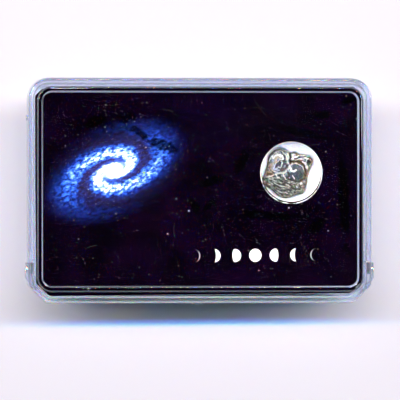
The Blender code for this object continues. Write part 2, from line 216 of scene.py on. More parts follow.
def loft(name: str, layers: Layers) -> Piece:
    """Builds a closed body through level outlines.

    Args:
        name: The object's name.
        layers: Height and outline of each level, all with as many points.

    Returns:
        The new object.
    """
    return skin(name, [[(p.x, p.y, z) for p in outline] for z, outline in layers])


def quarter_arc(radius: float, steps: int) -> list[tuple[float, float]]:
    """Returns a rounded edge's steps, the wall's end first.

    Args:
        radius: The edge's radius.
        steps: Steps in its quarter turn.

    Returns:
        For each step how far it is from the level of the flat face, and how far in from the wall.
    """
    angles = (math.pi / 2 * step / steps for step in range(steps + 1))
    return [(radius * (1 - math.sin(a)), radius * (1 - math.cos(a))) for a in angles]


def rounded_prism(name: str, outline: Outline, bottom: float, top: float, edge: float) -> Piece:
    """Builds an upright prism whose upper and lower edges are rounded.

    Args:
        name: The object's name.
        outline: Its outline, counter-clockwise.
        bottom: Height of its underside.
        top: Height of its top.
        edge: Radius of the rounding, or 0 for sharp edges.

    Returns:
        The new object.
    """
    if edge <= 0:
        return loft(name, [(bottom, outline), (top, outline)])
    curve = quarter_arc(edge, EDGE_STEPS)
    layers = [(bottom + rise, shrink(outline, inset)) for rise, inset in reversed(curve)]
    layers += [(top - rise, shrink(outline, inset)) for rise, inset in curve]
    return loft(name, layers)


def turn_to_side(plate: Piece) -> Piece:
    """Turns a prism so that its outline lies in Y and Z and its height along X.

    Args:
        plate: The prism.

    Returns:
        The same object.
    """
    for vertex in plate.data.vertices:
        vertex.co = Vector((vertex.co.z, vertex.co.x, vertex.co.y))
    return plate


def block(name: str, low: Sequence[float], high: Sequence[float], edge: float = 0.0) -> Piece:
    """Builds a box between two corners.

    Args:
        name: The object's name.
        low: Its left, near and lower corner.
        high: Its right, far and upper corner.
        edge: Radius of the rounding, or 0 for sharp edges.

    Returns:
        The new object.
    """
    (left, near, bottom), (right, far, top) = low, high
    outline = [Vector(p) for p in ((left, near), (right, near), (right, far), (left, far))]
    return rounded_prism(name, outline, bottom, top, edge)


def settle(part: Piece, tools: Iterable[Piece] = ()) -> None:
    """Applies a part's modifiers and deletes the tools that they used.

    Args:
        part: The part that changes.
        tools: The bodies that its modifiers use.
    """
    bpy.context.view_layer.update()
    graph = bpy.context.evaluated_depsgraph_get()
    mesh = bpy.data.meshes.new_from_object(part.evaluated_get(graph), depsgraph=graph)
    part.modifiers.clear()
    part.data = mesh
    for tool in tools:
        bpy.data.objects.remove(tool)


def shape(part: Piece, operation: str, *tools: Piece) -> None:
    """Cuts tools from a part, or fuses them to it.

    Args:
        part: The part that changes.
        operation: DIFFERENCE or UNION.
        *tools: The bodies, which are used up.
    """
    for tool in tools:
        modifier = part.modifiers.new(tool.name, "BOOLEAN")
        modifier.operation = operation
        modifier.solver = "EXACT"
        modifier.object = tool
    settle(part, tools)


def finish_surface(part: Piece, *materials: Material, crease_degrees: float = 32.0) -> None:
    """Shades a part smooth between its creases, leaves flat faces flat, and gives it its materials.

    Args:
        part: The part.
        *materials: Its materials, in the order of its slots.
        crease_degrees: The smallest angle between two faces that stays sharp.
    """
    mesh = bmesh.new()
    mesh.from_mesh(part.data)
    bmesh.ops.remove_doubles(mesh, verts=mesh.verts, dist=MERGE_DISTANCE)
    bmesh.ops.dissolve_degenerate(mesh, edges=mesh.edges, dist=MERGE_DISTANCE)
    mesh.to_mesh(part.data)
    mesh.free()
    part.data.shade_smooth()
    part.data.set_sharp_from_angle(angle=math.radians(crease_degrees))
    weighted = part.modifiers.new("flat_faces", "WEIGHTED_NORMAL")
    weighted.keep_sharp = True
    settle(part)
    part.data.materials.clear()
    for material in materials:
        part.data.materials.append(material)


def hand_over(part: Piece, body: Body, slot: str | None = None, *nodes: str) -> Piece:
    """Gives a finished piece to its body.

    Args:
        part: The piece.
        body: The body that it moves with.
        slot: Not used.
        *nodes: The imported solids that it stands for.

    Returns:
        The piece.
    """
    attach(part, body.value)
    if nodes:
        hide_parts(*nodes)
    return part


# Node trees


class NodeWriter:
    """Adds and joins nodes of one tree with short calls."""

    def __init__(self, tree: bpy.types.NodeTree) -> None:
        """Starts writing into a tree."""
        self.tree = tree

    def add(self, kind: str, feeds: dict[str, object] | None = None, **settings: object) -> bpy.types.Node:
        """Adds a node.

        Args:
            kind: Its type.
            feeds: Value or source of each input, by the input's identifier.
            **settings: The node's own settings.

        Returns:
            The node.
        """
        node = self.tree.nodes.new(kind)
        for key, value in settings.items():
            setattr(node, key, value)
        for key, value in (feeds or {}).items():
            self.feed(node, key, value)
        return node

    def feed(self, node: bpy.types.Node, identifier: str, value: object) -> None:
        """Links a source to an input, or sets its value.

        Args:
            node: The node.
            identifier: The input's identifier.
            value: An output, or a plain value.
        """
        socket = next(s for s in node.inputs if s.identifier == identifier)
        if isinstance(value, Socket):
            self.tree.links.new(value, socket)
        else:
            socket.default_value = value

    def math(self, operation: str, *values: object) -> Socket:
        """Returns the result of a Math node."""
        feeds = dict(zip(("Value", "Value_001", "Value_002"), values))
        return self.add("ShaderNodeMath", feeds, operation=operation).outputs[0]

    def times(self, a: object, b: object) -> Socket:
        """Returns a product."""
        return self.math("MULTIPLY", a, b)

    def scaled(self, value: object, factor: object, offset: object) -> Socket:
        """Returns a value times a factor plus an offset."""
        return self.math("MULTIPLY_ADD", value, factor, offset)

    def ramp(self, factor: object, *stops: tuple[float, Colour]) -> Socket:
        """Returns the colour that a factor picks from a ramp of (place, colour) stops.

        Args:
            factor: The place on the ramp, from 0 to 1.
            *stops: The stops, lowest first.

        Returns:
            A colour output.
        """
        node = self.add("ShaderNodeValToRGB", {"Fac": factor})
        elements = node.color_ramp.elements
        for _ in range(len(stops) - 2):
            elements.new(0.5)
        for element, (spot, colour) in zip(elements, stops):
            element.position = spot
            element.color = (*colour, 1.0)
        return node.outputs["Color"]


class MaterialWriter(NodeWriter):
    """Writes the nodes of one Principled material."""

    def __init__(self, name: str) -> None:
        """Starts a material of this name.

        Args:
            name: The material's name.
        """
        self.material = bpy.data.materials.new(name)
        self.material.use_nodes = True
        super().__init__(self.material.node_tree)
        self.shader = self.tree.nodes["Principled BSDF"]
        self.output = self.tree.nodes["Material Output"]

    def set(self, **values: object) -> None:
        """Sets or links inputs of the shader; an underscore in a name stands for a space."""
        for key, value in values.items():
            self.feed(self.shader, key.replace("_", " "), value)

    def place(self, centre_mm: Sequence[float] = (0, 0, 0), turn: float = 0.0,
              stretch: Sequence[float] = (1, 1, 1)) -> Socket:
        """Returns the place on the object in millimetres.

        Args:
            centre_mm: The place that becomes the origin.
            turn: Turn about Z of the pattern, in radians.
            stretch: Factor of each axis after the turn.

        Returns:
            A vector output.
        """
        source = self.add("ShaderNodeTexCoord").outputs["Object"]
        shift = {"Vector": source, "Location": [-c for c in centre_mm], "Scale": (1 / MM,) * 3}
        centred = self.add("ShaderNodeMapping", shift).outputs[0]
        turned = self.add("ShaderNodeMapping", {"Vector": centred, "Rotation": (0, 0, -turn)}).outputs[0]
        return self.add("ShaderNodeMapping", {"Vector": turned, "Scale": stretch}).outputs[0]

    def split(self, vector: object) -> tuple[Socket, ...]:
        """Returns the X, Y and Z of a vector."""
        return tuple(self.add("ShaderNodeSeparateXYZ", {"Vector": vector}).outputs)

    def length(self, vector: object) -> Socket:
        """Returns the length of a vector."""
        return self.add("ShaderNodeVectorMath", {"Vector": vector}, operation="LENGTH").outputs["Value"]

    def noise(self, vector: object, scale: float, detail: float = 2.0, roughness: float = 0.5) -> Socket:
        """Returns smooth noise from 0 to 1."""
        feeds = {"Vector": vector, "Scale": scale, "Detail": detail, "Roughness": roughness}
        return self.add("ShaderNodeTexNoise", feeds).outputs["Fac"]

    def cells(self, vector: object, scale: float, feature: str = "F1") -> bpy.types.Node:
        """Returns a cell pattern's node, with Distance and Color outputs."""
        return self.add("ShaderNodeTexVoronoi", {"Vector": vector, "Scale": scale}, feature=feature)

    def fade(self, value: object, start: float, end: float) -> Socket:
        """Returns 0 at start and 1 at end, smooth between."""
        feeds = {"Value": value, "From Min": start, "From Max": end}
        return self.add("ShaderNodeMapRange", feeds, interpolation_type="SMOOTHSTEP").outputs[0]

    def mix(self, factor: object, a: object, b: object, blend: str = "MIX") -> Socket:
        """Returns a mix of two colours.

        Args:
            factor: Share of the second colour.
            a: The first colour.
            b: The second colour.
            blend: How the two are blended.

        Returns:
            A colour output.
        """
        colours = [(*c, 1.0) if isinstance(c, tuple) else c for c in (a, b)]
        feeds = {"Factor_Float": factor, "A_Color": colours[0], "B_Color": colours[1]}
        node = self.add("ShaderNodeMix", feeds, data_type="RGBA", blend_type=blend)
        return next(s for s in node.outputs if s.identifier == "Result_Color")

    def bump(self, height: object, strength: float, distance: float) -> Socket:
        """Returns the normal of a bumpy surface; distance is the bumps' height in metres."""
        feeds = {"Height": height, "Strength": strength, "Distance": distance}
        return self.add("ShaderNodeBump", feeds).outputs[0]

    def attribute(self, name: str) -> Socket:
        """Returns a value that the mesh carries."""
        return self.add("ShaderNodeAttribute", attribute_name=name).outputs["Fac"]


class Recipe(NodeWriter):
    """A Geometry Nodes tree that is run once and leaves a plain mesh."""

    def __init__(self, name: str) -> None:
        """Starts a tree of this name.

        Args:
            name: The tree's name.
        """
        super().__init__(bpy.data.node_groups.new(name, "GeometryNodeTree"))
        self.tree.interface.new_socket("Geometry", in_out="OUTPUT", socket_type="NodeSocketGeometry")
        self.inlet = self.tree.nodes.new("NodeGroupInput")
        self.values: dict[str, object] = {}

    def given(self, name: str, value: object) -> Socket:
        """Adds a named input of the tree.

        Args:
            name: The input's name.
            value: Its value for this object: a float, an int or a material.

        Returns:
            The output that carries it inside the tree.
        """
        kind = {float: "NodeSocketFloat", int: "NodeSocketInt"}.get(type(value), "NodeSocketMaterial")
        item = self.tree.interface.new_socket(name, in_out="INPUT", socket_type=kind)
        self.values[item.identifier] = value
        return next(s for s in self.inlet.outputs if s.identifier == item.identifier)

    def spread(self, low: object, high: object, seed: object) -> Socket:
        """Returns a random number for each point."""
        feeds = {"Min_001": low, "Max_001": high, "Seed": seed}
        return self.add("FunctionNodeRandomValue", feeds, data_type="FLOAT").outputs[1]

    def vector(self, x: object = 0.0, y: object = 0.0, z: object = 0.0) -> Socket:
        """Returns a vector of three numbers."""
        return self.add("ShaderNodeCombineXYZ", {"X": x, "Y": y, "Z": z}).outputs[0]

    def moved(self, geometry: Socket, offset: object) -> Socket:
        """Returns a shape moved by an offset."""
        feeds = {"Geometry": geometry, "Translation": offset}
        return self.add("GeometryNodeTransform", feeds).outputs[0]

    def circle(self, name: str, radius: float, steps: int) -> Socket:
        """Returns a circle whose radius is a named input."""
        feeds = {"Radius": self.given(name, radius), "Resolution": steps}
        return self.add("GeometryNodeCurvePrimitiveCircle", feeds, mode="RADIUS").outputs[0]

    def filleted(self, curve: Socket, name: str, radius: float, steps: int) -> Socket:
        """Returns a curve with round corners, whose radius is a named input."""
        feeds = {"Curve": curve, "Radius": self.given(name, radius), "Count": steps}
        return self.add("GeometryNodeFilletCurve", feeds, mode="POLY").outputs[0]

    def swept(self, path: Socket, section: Socket, caps: bool = False) -> Socket:
        """Returns a section swept along a path, with closed ends if it has caps."""
        feeds = {"Curve": path, "Profile Curve": section, "Fill Caps": caps}
        return self.add("GeometryNodeCurveToMesh", feeds).outputs[0]

    def strand(self, places: Sequence[object], steps: int, section: Socket) -> Socket:
        """Returns a bent strand.

        Args:
            places: Its start, the two handles and its end.
            steps: Steps along it.
            section: The curve that is swept along it.

        Returns:
            The strand, with closed ends.
        """
        feeds = {"Resolution": steps, **dict(zip(("Start", "Start Handle", "End Handle", "End"), places))}
        arc = self.add("GeometryNodeCurvePrimitiveBezierSegment", feeds, mode="POSITION").outputs[0]
        return self.swept(arc, section, True)

    def laid(self, points: Socket, copy: Socket, turn: Socket, size: Socket, **more: object) -> Socket:
        """Returns copies of a shape laid on points.

        Args:
            points: The points.
            copy: The shape that is copied.
            turn: The turn of each copy about Z.
            size: The size of each copy.
            **more: Further inputs of the node that lays them.

        Returns:
            The copies.
        """
        spin = self.vector(0.0, 0.0, turn)
        feeds = {"Points": points, "Instance": copy, "Rotation": spin, "Scale": size, **more}
        return self.add("GeometryNodeInstanceOnPoints", feeds).outputs[0]

    def make(self, name: str, geometry: Socket, material: Material) -> Piece:
        """Ends the tree, runs it and keeps what it makes as a plain mesh.

        Args:
            name: The new object's name.
            geometry: The output that carries the shape.
            material: Its material.

        Returns:
            The new object, with no modifier left.
        """
        dress = self.given("Material", material)
        real = self.add("GeometryNodeRealizeInstances", {"Geometry": geometry}).outputs[0]
        dressed = self.add("GeometryNodeSetMaterial", {"Geometry": real, "Material": dress}).outputs[0]
        outlet = self.tree.nodes.new("NodeGroupOutput")
        self.tree.links.new(dressed, outlet.inputs[0])
        part = add_object(name, bpy.data.meshes.new(name))
        modifier = part.modifiers.new(self.tree.name, "NODES")
        modifier.node_group = self.tree
        for identifier, value in self.values.items():
            modifier[identifier] = value
        settle(part)
        return part


# Finishes


def toned(colour: Colour, factor: float) -> Colour:
    """Returns a colour made darker or lighter, at most white."""
    return tuple(min(1.0, factor * channel) for channel in colour)


@dataclass(frozen=True)
class ClearPolystyrene:
    """Clear moulded polystyrene with faint haze and flow ripples, whose tint can carry painted shade near
    the front wall and painted light near the rear wall.
    """

    tint: Colour = (0.985, 0.988, 1.0)
    ior: float = 1.58
    let_through: Colour = (0.980, 0.984, 0.990)
    clarity: float = 1.0
    polish: float = 0.02
    haze: float = 0.05
    front_y_mm: float = 17.0
    # Painted shade: factor on the tint near the front wall.
    front_painted_shade: float = 1.0
    rear_y_mm: float = -16.8
    # Painted light: factor on the tint near the rear wall, above 1 to lighten it.
    rear_painted_light: float = 1.0
    fade_mm: float = 0.4

    def material(self, name: str) -> Material:
        """Returns the material; lamp light crosses it as through a plain tinted sheet.

        Args:
            name: The material's name.

        Returns:
            The material.
        """
        m = MaterialWriter(name)
        place = m.place()
        y = m.split(place)[1]
        tint: object = self.tint
        # Painted shade and light: the tint is darkened towards the front wall and lightened towards the
        # rear wall.
        for end_y, start_y, tone in (
                (self.front_y_mm, self.front_y_mm - self.fade_mm, self.front_painted_shade),
                (self.rear_y_mm, self.rear_y_mm + self.fade_mm, self.rear_painted_light)):
            tint = m.mix(m.fade(y, start_y, end_y), tint, toned(self.tint, tone))
        cloud = m.fade(m.noise(place, 0.22, 3.0), 0.35, 0.75)
        rough = m.scaled(cloud, self.haze - self.polish, self.polish)
        ripple = m.noise(m.place(stretch=(0.25, 1.0, 1.0)), 0.7, 1.0)
        m.set(Roughness=rough, Normal=m.bump(ripple, 0.08, 0.02 * MM))
        m.set(Base_Color=tint, Transmission_Weight=self.clarity, IOR=self.ior)
        clear = m.add("ShaderNodeBsdfTransparent", {"Color": (*self.let_through, 1.0)}).outputs[0]
        shadow = m.add("ShaderNodeLightPath").outputs["Is Shadow Ray"]
        feeds = {"Fac": shadow, "Shader": m.shader.outputs[0], "Shader_001": clear}
        both = m.add("ShaderNodeMixShader", feeds)
        m.tree.links.new(both.outputs[0], m.output.inputs["Surface"])
        return m.material


@dataclass(frozen=True)
class WhiteFoam:
    """Fine-celled white foam."""

    light: Colour = (0.87, 0.895, 0.955)
    shade: Colour = (0.81, 0.84, 0.92)
    cell_mm: float = 0.22

    def material(self) -> Material:
        """Returns the material, with small closed cells and soft blotches.

        Returns:
            The material.
        """
        m = MaterialWriter("fine_white_foam")
        place = m.place()
        cell = m.cells(place, 1 / self.cell_mm, "SMOOTH_F1").outputs["Distance"]
        blotch = m.noise(place, 0.5, 3.0)
        worn = m.times(m.fade(cell, 0.35, 0.75), m.fade(blotch, 0.3, 0.7))
        m.set(Base_Color=m.mix(worn, self.light, self.shade), Roughness=0.9)
        m.set(Normal=m.bump(cell, 0.5, -0.05 * MM))
        return m.material


@dataclass(frozen=True)
class CutCard:
    """The punched and trimmed edge of the card: white core over a dark band low on the edge that is painted
    shadow of the gap under it.
    """

    core: Colour = (0.86, 0.89, 0.93)
    # Painted shadow: dark colour low on the cut edge, standing in for the gap under the card.
    gap_shadow: Colour = (0.012, 0.005, 0.002)
    gap_shadow_share: float = 0.86
    raggedness: float = 1.1

    def material(self, bottom_mm: float, thickness_mm: float, hole_y_mm: float) -> Material:
        """Returns the material of a card that lies at this height.

        Args:
            bottom_mm: Height of the card's underside.
            thickness_mm: Its thickness.
            hole_y_mm: Middle of its hole, whose near side shows most of the painted shadow.

        Returns:
            The material.
        """
        m = MaterialWriter("cut_card_edge")
        place = m.place()
        _, y, z = m.split(place)
        height = m.math("DIVIDE", m.math("SUBTRACT", z, bottom_mm), thickness_mm)
        height = m.math("ADD", height, m.fade(y, hole_y_mm - 2.0, hole_y_mm + 2.0))
        ragged = m.math("SUBTRACT", m.noise(place, 1.6, 4.0, 0.6), 0.5)
        torn = m.scaled(ragged, self.raggedness, height)
        # Painted shadow: the lower share of the edge turns dark, mostly on the hole's near side.
        white = m.fade(torn, self.gap_shadow_share - 0.1, self.gap_shadow_share + 0.1)
        m.set(Base_Color=m.mix(white, self.gap_shadow, self.core), Roughness=0.8, Specular_IOR_Level=0.1)
        m.set(Normal=m.bump(m.noise(place, 9.0, 3.0), 0.4, 0.03 * MM))
        return m.material


@dataclass(frozen=True)
class GreyBoard:
    """The plain back of the card."""

    colour: Colour = (0.62, 0.62, 0.60)
    fibre_colour: Colour = (0.74, 0.74, 0.72)

    def material(self) -> Material:
        """Returns the material, with the fibres of unprinted board.

        Returns:
            The material.
        """
        m = MaterialWriter("plain_board_back")
        fibre = m.noise(m.place(stretch=(1.0, 4.0, 1.0)), 3.0, 4.0)
        m.set(Base_Color=m.mix(fibre, self.colour, self.fibre_colour), Roughness=0.85)
        m.set(Normal=m.bump(fibre, 0.3, 0.02 * MM))
        return m.material


@dataclass(frozen=True)
class Galaxy:
    """A tilted two-armed spiral in blues and white, in millimetres on the card."""

    centre: tuple[float, float] = (-13.6, 3.4)
    turn_degrees: float = 24.0
    flatness: float = 1.75
    winding: float = 3.1
    reach: float = 5.6
    core: float = 1.7
    tones: tuple[tuple[float, Colour], ...] = (
        (0.0, (0.0, 0.0, 0.0)), (0.10, (0.006, 0.02, 0.16)), (0.27, (0.03, 0.13, 0.75)),
        (0.44, (0.26, 0.46, 0.88)), (0.68, (0.80, 0.86, 0.92)), (1.0, (0.88, 0.87, 0.83)),
    )
    green: Colour = (0.20, 0.34, 0.10)
    dust: Colour = (0.05, 0.025, 0.016)

    def paint(self, m: MaterialWriter, card_centre: Sequence[float], turn: float, under: object) -> Socket:
        """Returns the print's colour with the spiral added.

        Args:
            m: The material.
            card_centre: Middle of the card in millimetres.
            turn: Turn of the card in radians.
            under: The colour beneath.

        Returns:
            A colour output.
        """
        c, s = math.cos(turn), math.sin(turn)
        x = card_centre[0] + self.centre[0] * c - self.centre[1] * s
        y = card_centre[1] + self.centre[0] * s + self.centre[1] * c
        tilt = turn + math.radians(self.turn_degrees)
        flat = m.place((x, y, 0), tilt, (1.0, self.flatness, 0.0))
        u, v, _ = m.split(flat)
        far = m.length(flat)
        angle = m.math("ARCTAN2", v, u)
        wisps = m.noise(flat, 0.45, 8.0, 0.62)
        mottle = m.noise(flat, 1.3, 6.0, 0.65)
        wound = m.times(m.math("LOGARITHM", m.math("ADD", far, 0.6), math.e), self.winding)
        phase = m.math("SUBTRACT", m.times(angle, 2.0), m.times(wound, 2.0))
        wave = m.math("COSINE", m.scaled(wisps, 3.2, phase))
        arm = m.math("POWER", m.scaled(wave, 0.5, 0.5), 1.3)
        fall = m.math("EXPONENT", m.math("DIVIDE", far, -self.reach))
        fall = m.times(fall, m.fade(far, self.reach * 2.5, self.reach * 0.9))
        lit = m.times(m.scaled(arm, 1.15, 0.14), fall)
        grain = m.times(lit, m.scaled(m.fade(mottle, 0.36, 0.66), 1.35, 0.3))
        heart = m.math("EXPONENT", m.times(m.math("POWER", m.math("DIVIDE", far, self.core), 2.0), -1.0))
        glow = m.math("ADD", grain, m.times(heart, 0.95))
        green = m.times(m.fade(m.noise(flat, 0.9, 4.0), 0.56, 0.66), m.fade(glow, 0.16, 0.3))
        tone = m.mix(m.times(green, m.fade(glow, 0.62, 0.4)), m.ramp(glow, *self.tones), self.green)
        lane = m.times(m.fade(wave, -0.2, -0.75), m.fade(far, self.reach * 0.2, self.reach * 0.45))
        dust = m.times(m.times(lane, 0.6), fall)
        return m.mix(1.0, under, m.mix(dust, tone, self.dust), "ADD")


@dataclass(frozen=True)
class MoonRow:
    """A row of small moons from new to full and back, in millimetres on the card."""

    middle: tuple[float, float] = (9.0, -10.4)
    pitch: float = 3.3
    radius: float = 1.05
    each_side: int = 3

    def mask(self, m: MaterialWriter, x: object, y: object) -> Socket:
        """Returns 1 on the lit part of each moon.

        Args:
            m: The material.
            x: Place across the card.
            y: Place up the card.

        Returns:
            A value output.
        """
        across = m.math("SUBTRACT", x, self.middle[0])
        number = m.math("ROUND", m.math("DIVIDE", across, self.pitch))
        u = m.math("SUBTRACT", across, m.times(number, self.pitch))
        v = m.math("SUBTRACT", y, self.middle[1])
        square = m.math("SUBTRACT", self.radius ** 2, m.times(v, v))
        chord = m.math("SQRT", m.math("MAXIMUM", square, 0.0))
        away = m.math("ABSOLUTE", number)
        phase = m.scaled(away, 1.86 / self.each_side, -1.0)
        side = m.times(m.math("SIGN", m.math("ADD", number, 0.5)), -1.0)
        terminator = m.math("SUBTRACT", m.times(u, side), m.times(chord, phase))
        limb = m.math("SUBTRACT", chord, m.math("ABSOLUTE", u))
        lit = m.times(m.fade(terminator, -0.06, 0.08), m.fade(limb, 0.0, 0.14))
        return m.times(lit, m.math("LESS_THAN", away, self.each_side + 0.5))


@dataclass(frozen=True)
class Patch:
    """A spot where the card touches the lid and is darkened as painted shade, in millimetres from the box's
    middle.
    """

    x: float
    y: float
    across: float
    along: float
    turn_degrees: float = 0.0


@dataclass(frozen=True)
class CardPrint:
    """Near-black print with a spiral, stars and a row of moons, and painted shade where it touches the lid.
    """

    ink: Colour = (0.0013, 0.00006, 0.0027)
    white: Colour = (0.88, 0.90, 0.94)
    # Painted shade: factor on the print where the card touches the lid.
    contact_shade_tone: Colour = (0.15, 0.15, 0.15)
    stars_per_mm: tuple[float, float] = (0.62, 1.7)
    star_size: tuple[float, float] = (0.09, 0.11)
    star_strength: tuple[float, float] = (0.9, 0.28)
    galaxy: Galaxy = Galaxy()
    moons: MoonRow = MoonRow()
    touching: tuple[Patch, ...] = (
        Patch(-16.9, 11.1, 2.2, 0.8, 20), Patch(-11.9, 11.8, 1.6, 0.9, 0), Patch(-10.0, 9.4, 1.9, 0.8, -30),
        Patch(-5.8, 7.3, 2.6, 0.8, -20), Patch(6.6, 4.2, 1.9, 0.9, 70), Patch(2.1, 1.6, 2.4, 0.8, 20),
        Patch(-0.9, -2.3, 1.9, 0.7, -60), Patch(1.3, -2.6, 1.9, 0.7, 45), Patch(11.2, -3.9, 4.8, 0.8, -6),
        Patch(16.6, 9.2, 4.0, 0.8, -14), Patch(19.8, 12.1, 1.7, 0.9, 0), Patch(24.0, 14.5, 1.4, 0.7, 20),
        Patch(23.2, -1.8, 1.0, 7.6, 4), Patch(18.5, -5.8, 1.6, 1.0, 30),
    )

    def material(self, centre_mm: Sequence[float], turn: float) -> Material:
        """Returns the material of a card with this middle and turn.

        Args:
            centre_mm: Middle of the card in millimetres.
            turn: Turn of the card in radians.

        Returns:
            The material.
        """
        m = MaterialWriter("dark_printed_card")
        card = m.place(centre_mm, turn)
        x, y, _ = m.split(card)
        haze = m.noise(card, 0.16, 4.0, 0.6)
        colour = m.mix(m.fade(haze, 0.35, 0.65), toned(self.ink, 0.5), toned(self.ink, 1.7))
        colour = self.galaxy.paint(m, centre_mm, turn, colour)
        for scale, size, strength in zip(self.stars_per_mm, self.star_size, self.star_strength):
            colour = m.mix(self.stars(m, card, scale, size, strength), colour, self.white)
        colour = m.mix(self.moons.mask(m, x, y), colour, self.white)
        # Painted shade: the print is darkened where the card touches the lid.
        m.set(Base_Color=m.mix(self.contact_shade(m), colour, m.mix(1.0, colour, self.contact_shade_tone, "MULTIPLY")))
        grain = m.noise(card, 12.0, 3.0)
        m.set(Roughness=m.scaled(grain, 0.12, 0.78), Normal=m.bump(grain, 0.15, 0.01 * MM))
        m.set(Specular_IOR_Level=0.004)
        return m.material

    def stars(self, m: MaterialWriter, card: object, scale: float, size: float, strength: float) -> Socket:
        """Returns small dots of uneven brightness, one in each cell of a pattern.

        Args:
            m: The material.
            card: Place on the card.
            scale: Cells in a millimetre.
            size: Radius of a dot, as a share of its cell.
            strength: Brightness of the brightest dot.

        Returns:
            A value output.
        """
        cell = m.cells(card, scale)
        luck = m.split(cell.outputs["Color"])[0]
        dot = m.fade(cell.outputs["Distance"], size, size * 0.25)
        return m.times(dot, m.times(m.math("POWER", luck, 4.0), strength))

    def contact_shade(self, m: MaterialWriter) -> Socket:
        """Returns 1 where the card lies against the lid, which is darkened there as painted shade.

        Args:
            m: The material.

        Returns:
            A value output.
        """
        stir = m.noise(m.place(), 0.55, 4.0, 0.6)
        total: object = 0.0
        for patch in self.touching:
            stretch = (1 / patch.across, 1 / patch.along, 0.0)
            spot = m.place((patch.x, patch.y, 0), math.radians(patch.turn_degrees), stretch)
            covered = m.fade(m.scaled(stir, 2.4, m.length(spot)), 2.35, 1.85)
            total = m.math("MAXIMUM", total, covered)
        return total


@dataclass(frozen=True)
class EtchedIron:
    """Iron with pale worn crests that also carry painted highlight, painted highlight spots, grey-blue cast
    skin, and oxide and a dark deposit with painted shade in its hollows.
    """

    skin: Colour = (0.042, 0.058, 0.074)
    pale_skin: Colour = (0.20, 0.24, 0.31)
    # Worn metal and painted highlight: colour of the lightened crests.
    crest_wear_and_highlight: Colour = (0.50, 0.50, 0.47)
    # Painted highlight: colour of the small highlight spots.
    painted_glint_colour: Colour = (0.60, 0.61, 0.61)
    rough_skin: Colour = (0.15, 0.16, 0.14)
    oxide: Colour = (0.13, 0.075, 0.038)
    tan: Colour = (0.42, 0.30, 0.19)
    # Dark deposit, which in the hollows also stands in for shade.
    soot_and_shade: Colour = (0.03, 0.031, 0.032)
    grain_shade: Colour = (0.72, 0.72, 0.72)
    mottle_low: Colour = (0.6, 0.6, 0.66)
    mottle_high: Colour = (1.6, 1.55, 1.5)

    def material(self) -> Material:
        """Returns the material; it reads what the nugget's mesh carries.

        Returns:
            The material.
        """
        m = MaterialWriter("etched_iron")
        place = m.place()
        crest, hollow, rough_zone, brown, pale, painted_glint = (m.attribute(name) for name in CARRIED)
        fine = m.noise(place, 7.0, 5.0, 0.65)
        speck = m.noise(place, 22.0, 3.0, 0.6)
        along_grain = m.place(turn=math.radians(-18), stretch=(0.35, 1.2, 1.0))
        streaks = m.noise(along_grain, 3.0, 4.0, 0.6)
        smooth = m.mix(pale, self.skin, self.pale_skin)
        mottle = m.fade(m.noise(place, 1.5, 5.0, 0.6), 0.36, 0.64)
        smooth = m.mix(1.0, smooth, m.mix(mottle, self.mottle_low, self.mottle_high), "MULTIPLY")
        coarse = m.mix(m.fade(streaks, 0.53, 0.62), self.rough_skin, toned(self.rough_skin, 2.3))
        colour = m.mix(rough_zone, smooth, coarse)
        shaded = m.mix(1.0, colour, self.grain_shade, "MULTIPLY")
        colour = m.mix(m.fade(speck, 0.35, 0.65), shaded, colour)
        patchy = m.scaled(m.fade(m.noise(place, 2.4, 4.0), 0.35, 0.55), 0.45, 0.6)
        patchy = m.times(patchy, m.scaled(rough_zone, -0.6, 1.0))
        # Worn metal and painted highlight: crests are lightened, less on the coarse mass.
        crest_wear_and_highlight_share = m.times(m.fade(m.scaled(fine, 0.4, crest), 0.5, 1.0), patchy)
        colour = m.mix(crest_wear_and_highlight_share, colour, self.crest_wear_and_highlight)
        rust = m.times(brown, m.fade(fine, 0.2, 0.6))
        colour = m.mix(rust, colour, m.mix(m.fade(speck, 0.3, 0.7), self.oxide, self.tan))
        # Painted shade with oxide: hollows darken, towards oxide where stained and towards the dark deposit
        # elsewhere.
        dark = m.times(m.fade(m.scaled(speck, 0.35, hollow), 0.45, 1.0), 0.92)
        colour = m.mix(dark, colour, m.mix(brown, self.soot_and_shade, toned(self.oxide, 0.4)))
        dark_streak = m.times(m.fade(streaks, 0.52, 0.45), rough_zone)
        colour = m.mix(dark_streak, colour, self.soot_and_shade)
        # Painted highlight: spots along the listed lines turn nearly white.
        painted_glint_share = m.fade(m.scaled(fine, 1.4, painted_glint), 1.0, 1.3)
        colour = m.mix(painted_glint_share, colour, self.painted_glint_colour)
        dull = m.math("MAXIMUM", rust, dark)
        m.set(Base_Color=colour, Metallic=m.scaled(dull, -0.1, 0.12), Specular_IOR_Level=0.2)
        rough = m.scaled(m.math("MAXIMUM", rough_zone, dull), 0.14, 0.42)
        m.set(Roughness=m.scaled(fine, 0.12, rough))
        pits = m.times(m.math("ADD", m.times(rough_zone, 0.7), 0.3), speck)
        m.set(Normal=m.bump(pits, 0.5, 0.04 * MM))
        return m.material


@dataclass(frozen=True)
class PaleFluff:
    """Dust, scuffs and paper fibres."""

    colour: Colour = (0.75, 0.76, 0.82)
    opacity: float = 1.0

    def material(self, name: str) -> Material:
        """Returns the material, uneven in tone.

        Args:
            name: The material's name.

        Returns:
            The material.
        """
        m = MaterialWriter(name)
        tone = m.noise(m.place(), 1.5, 2.0)
        m.set(Base_Color=m.mix(tone, toned(self.colour, 0.6), self.colour), Roughness=0.9)
        m.set(Alpha=self.opacity)
        return m.material


# The clear box


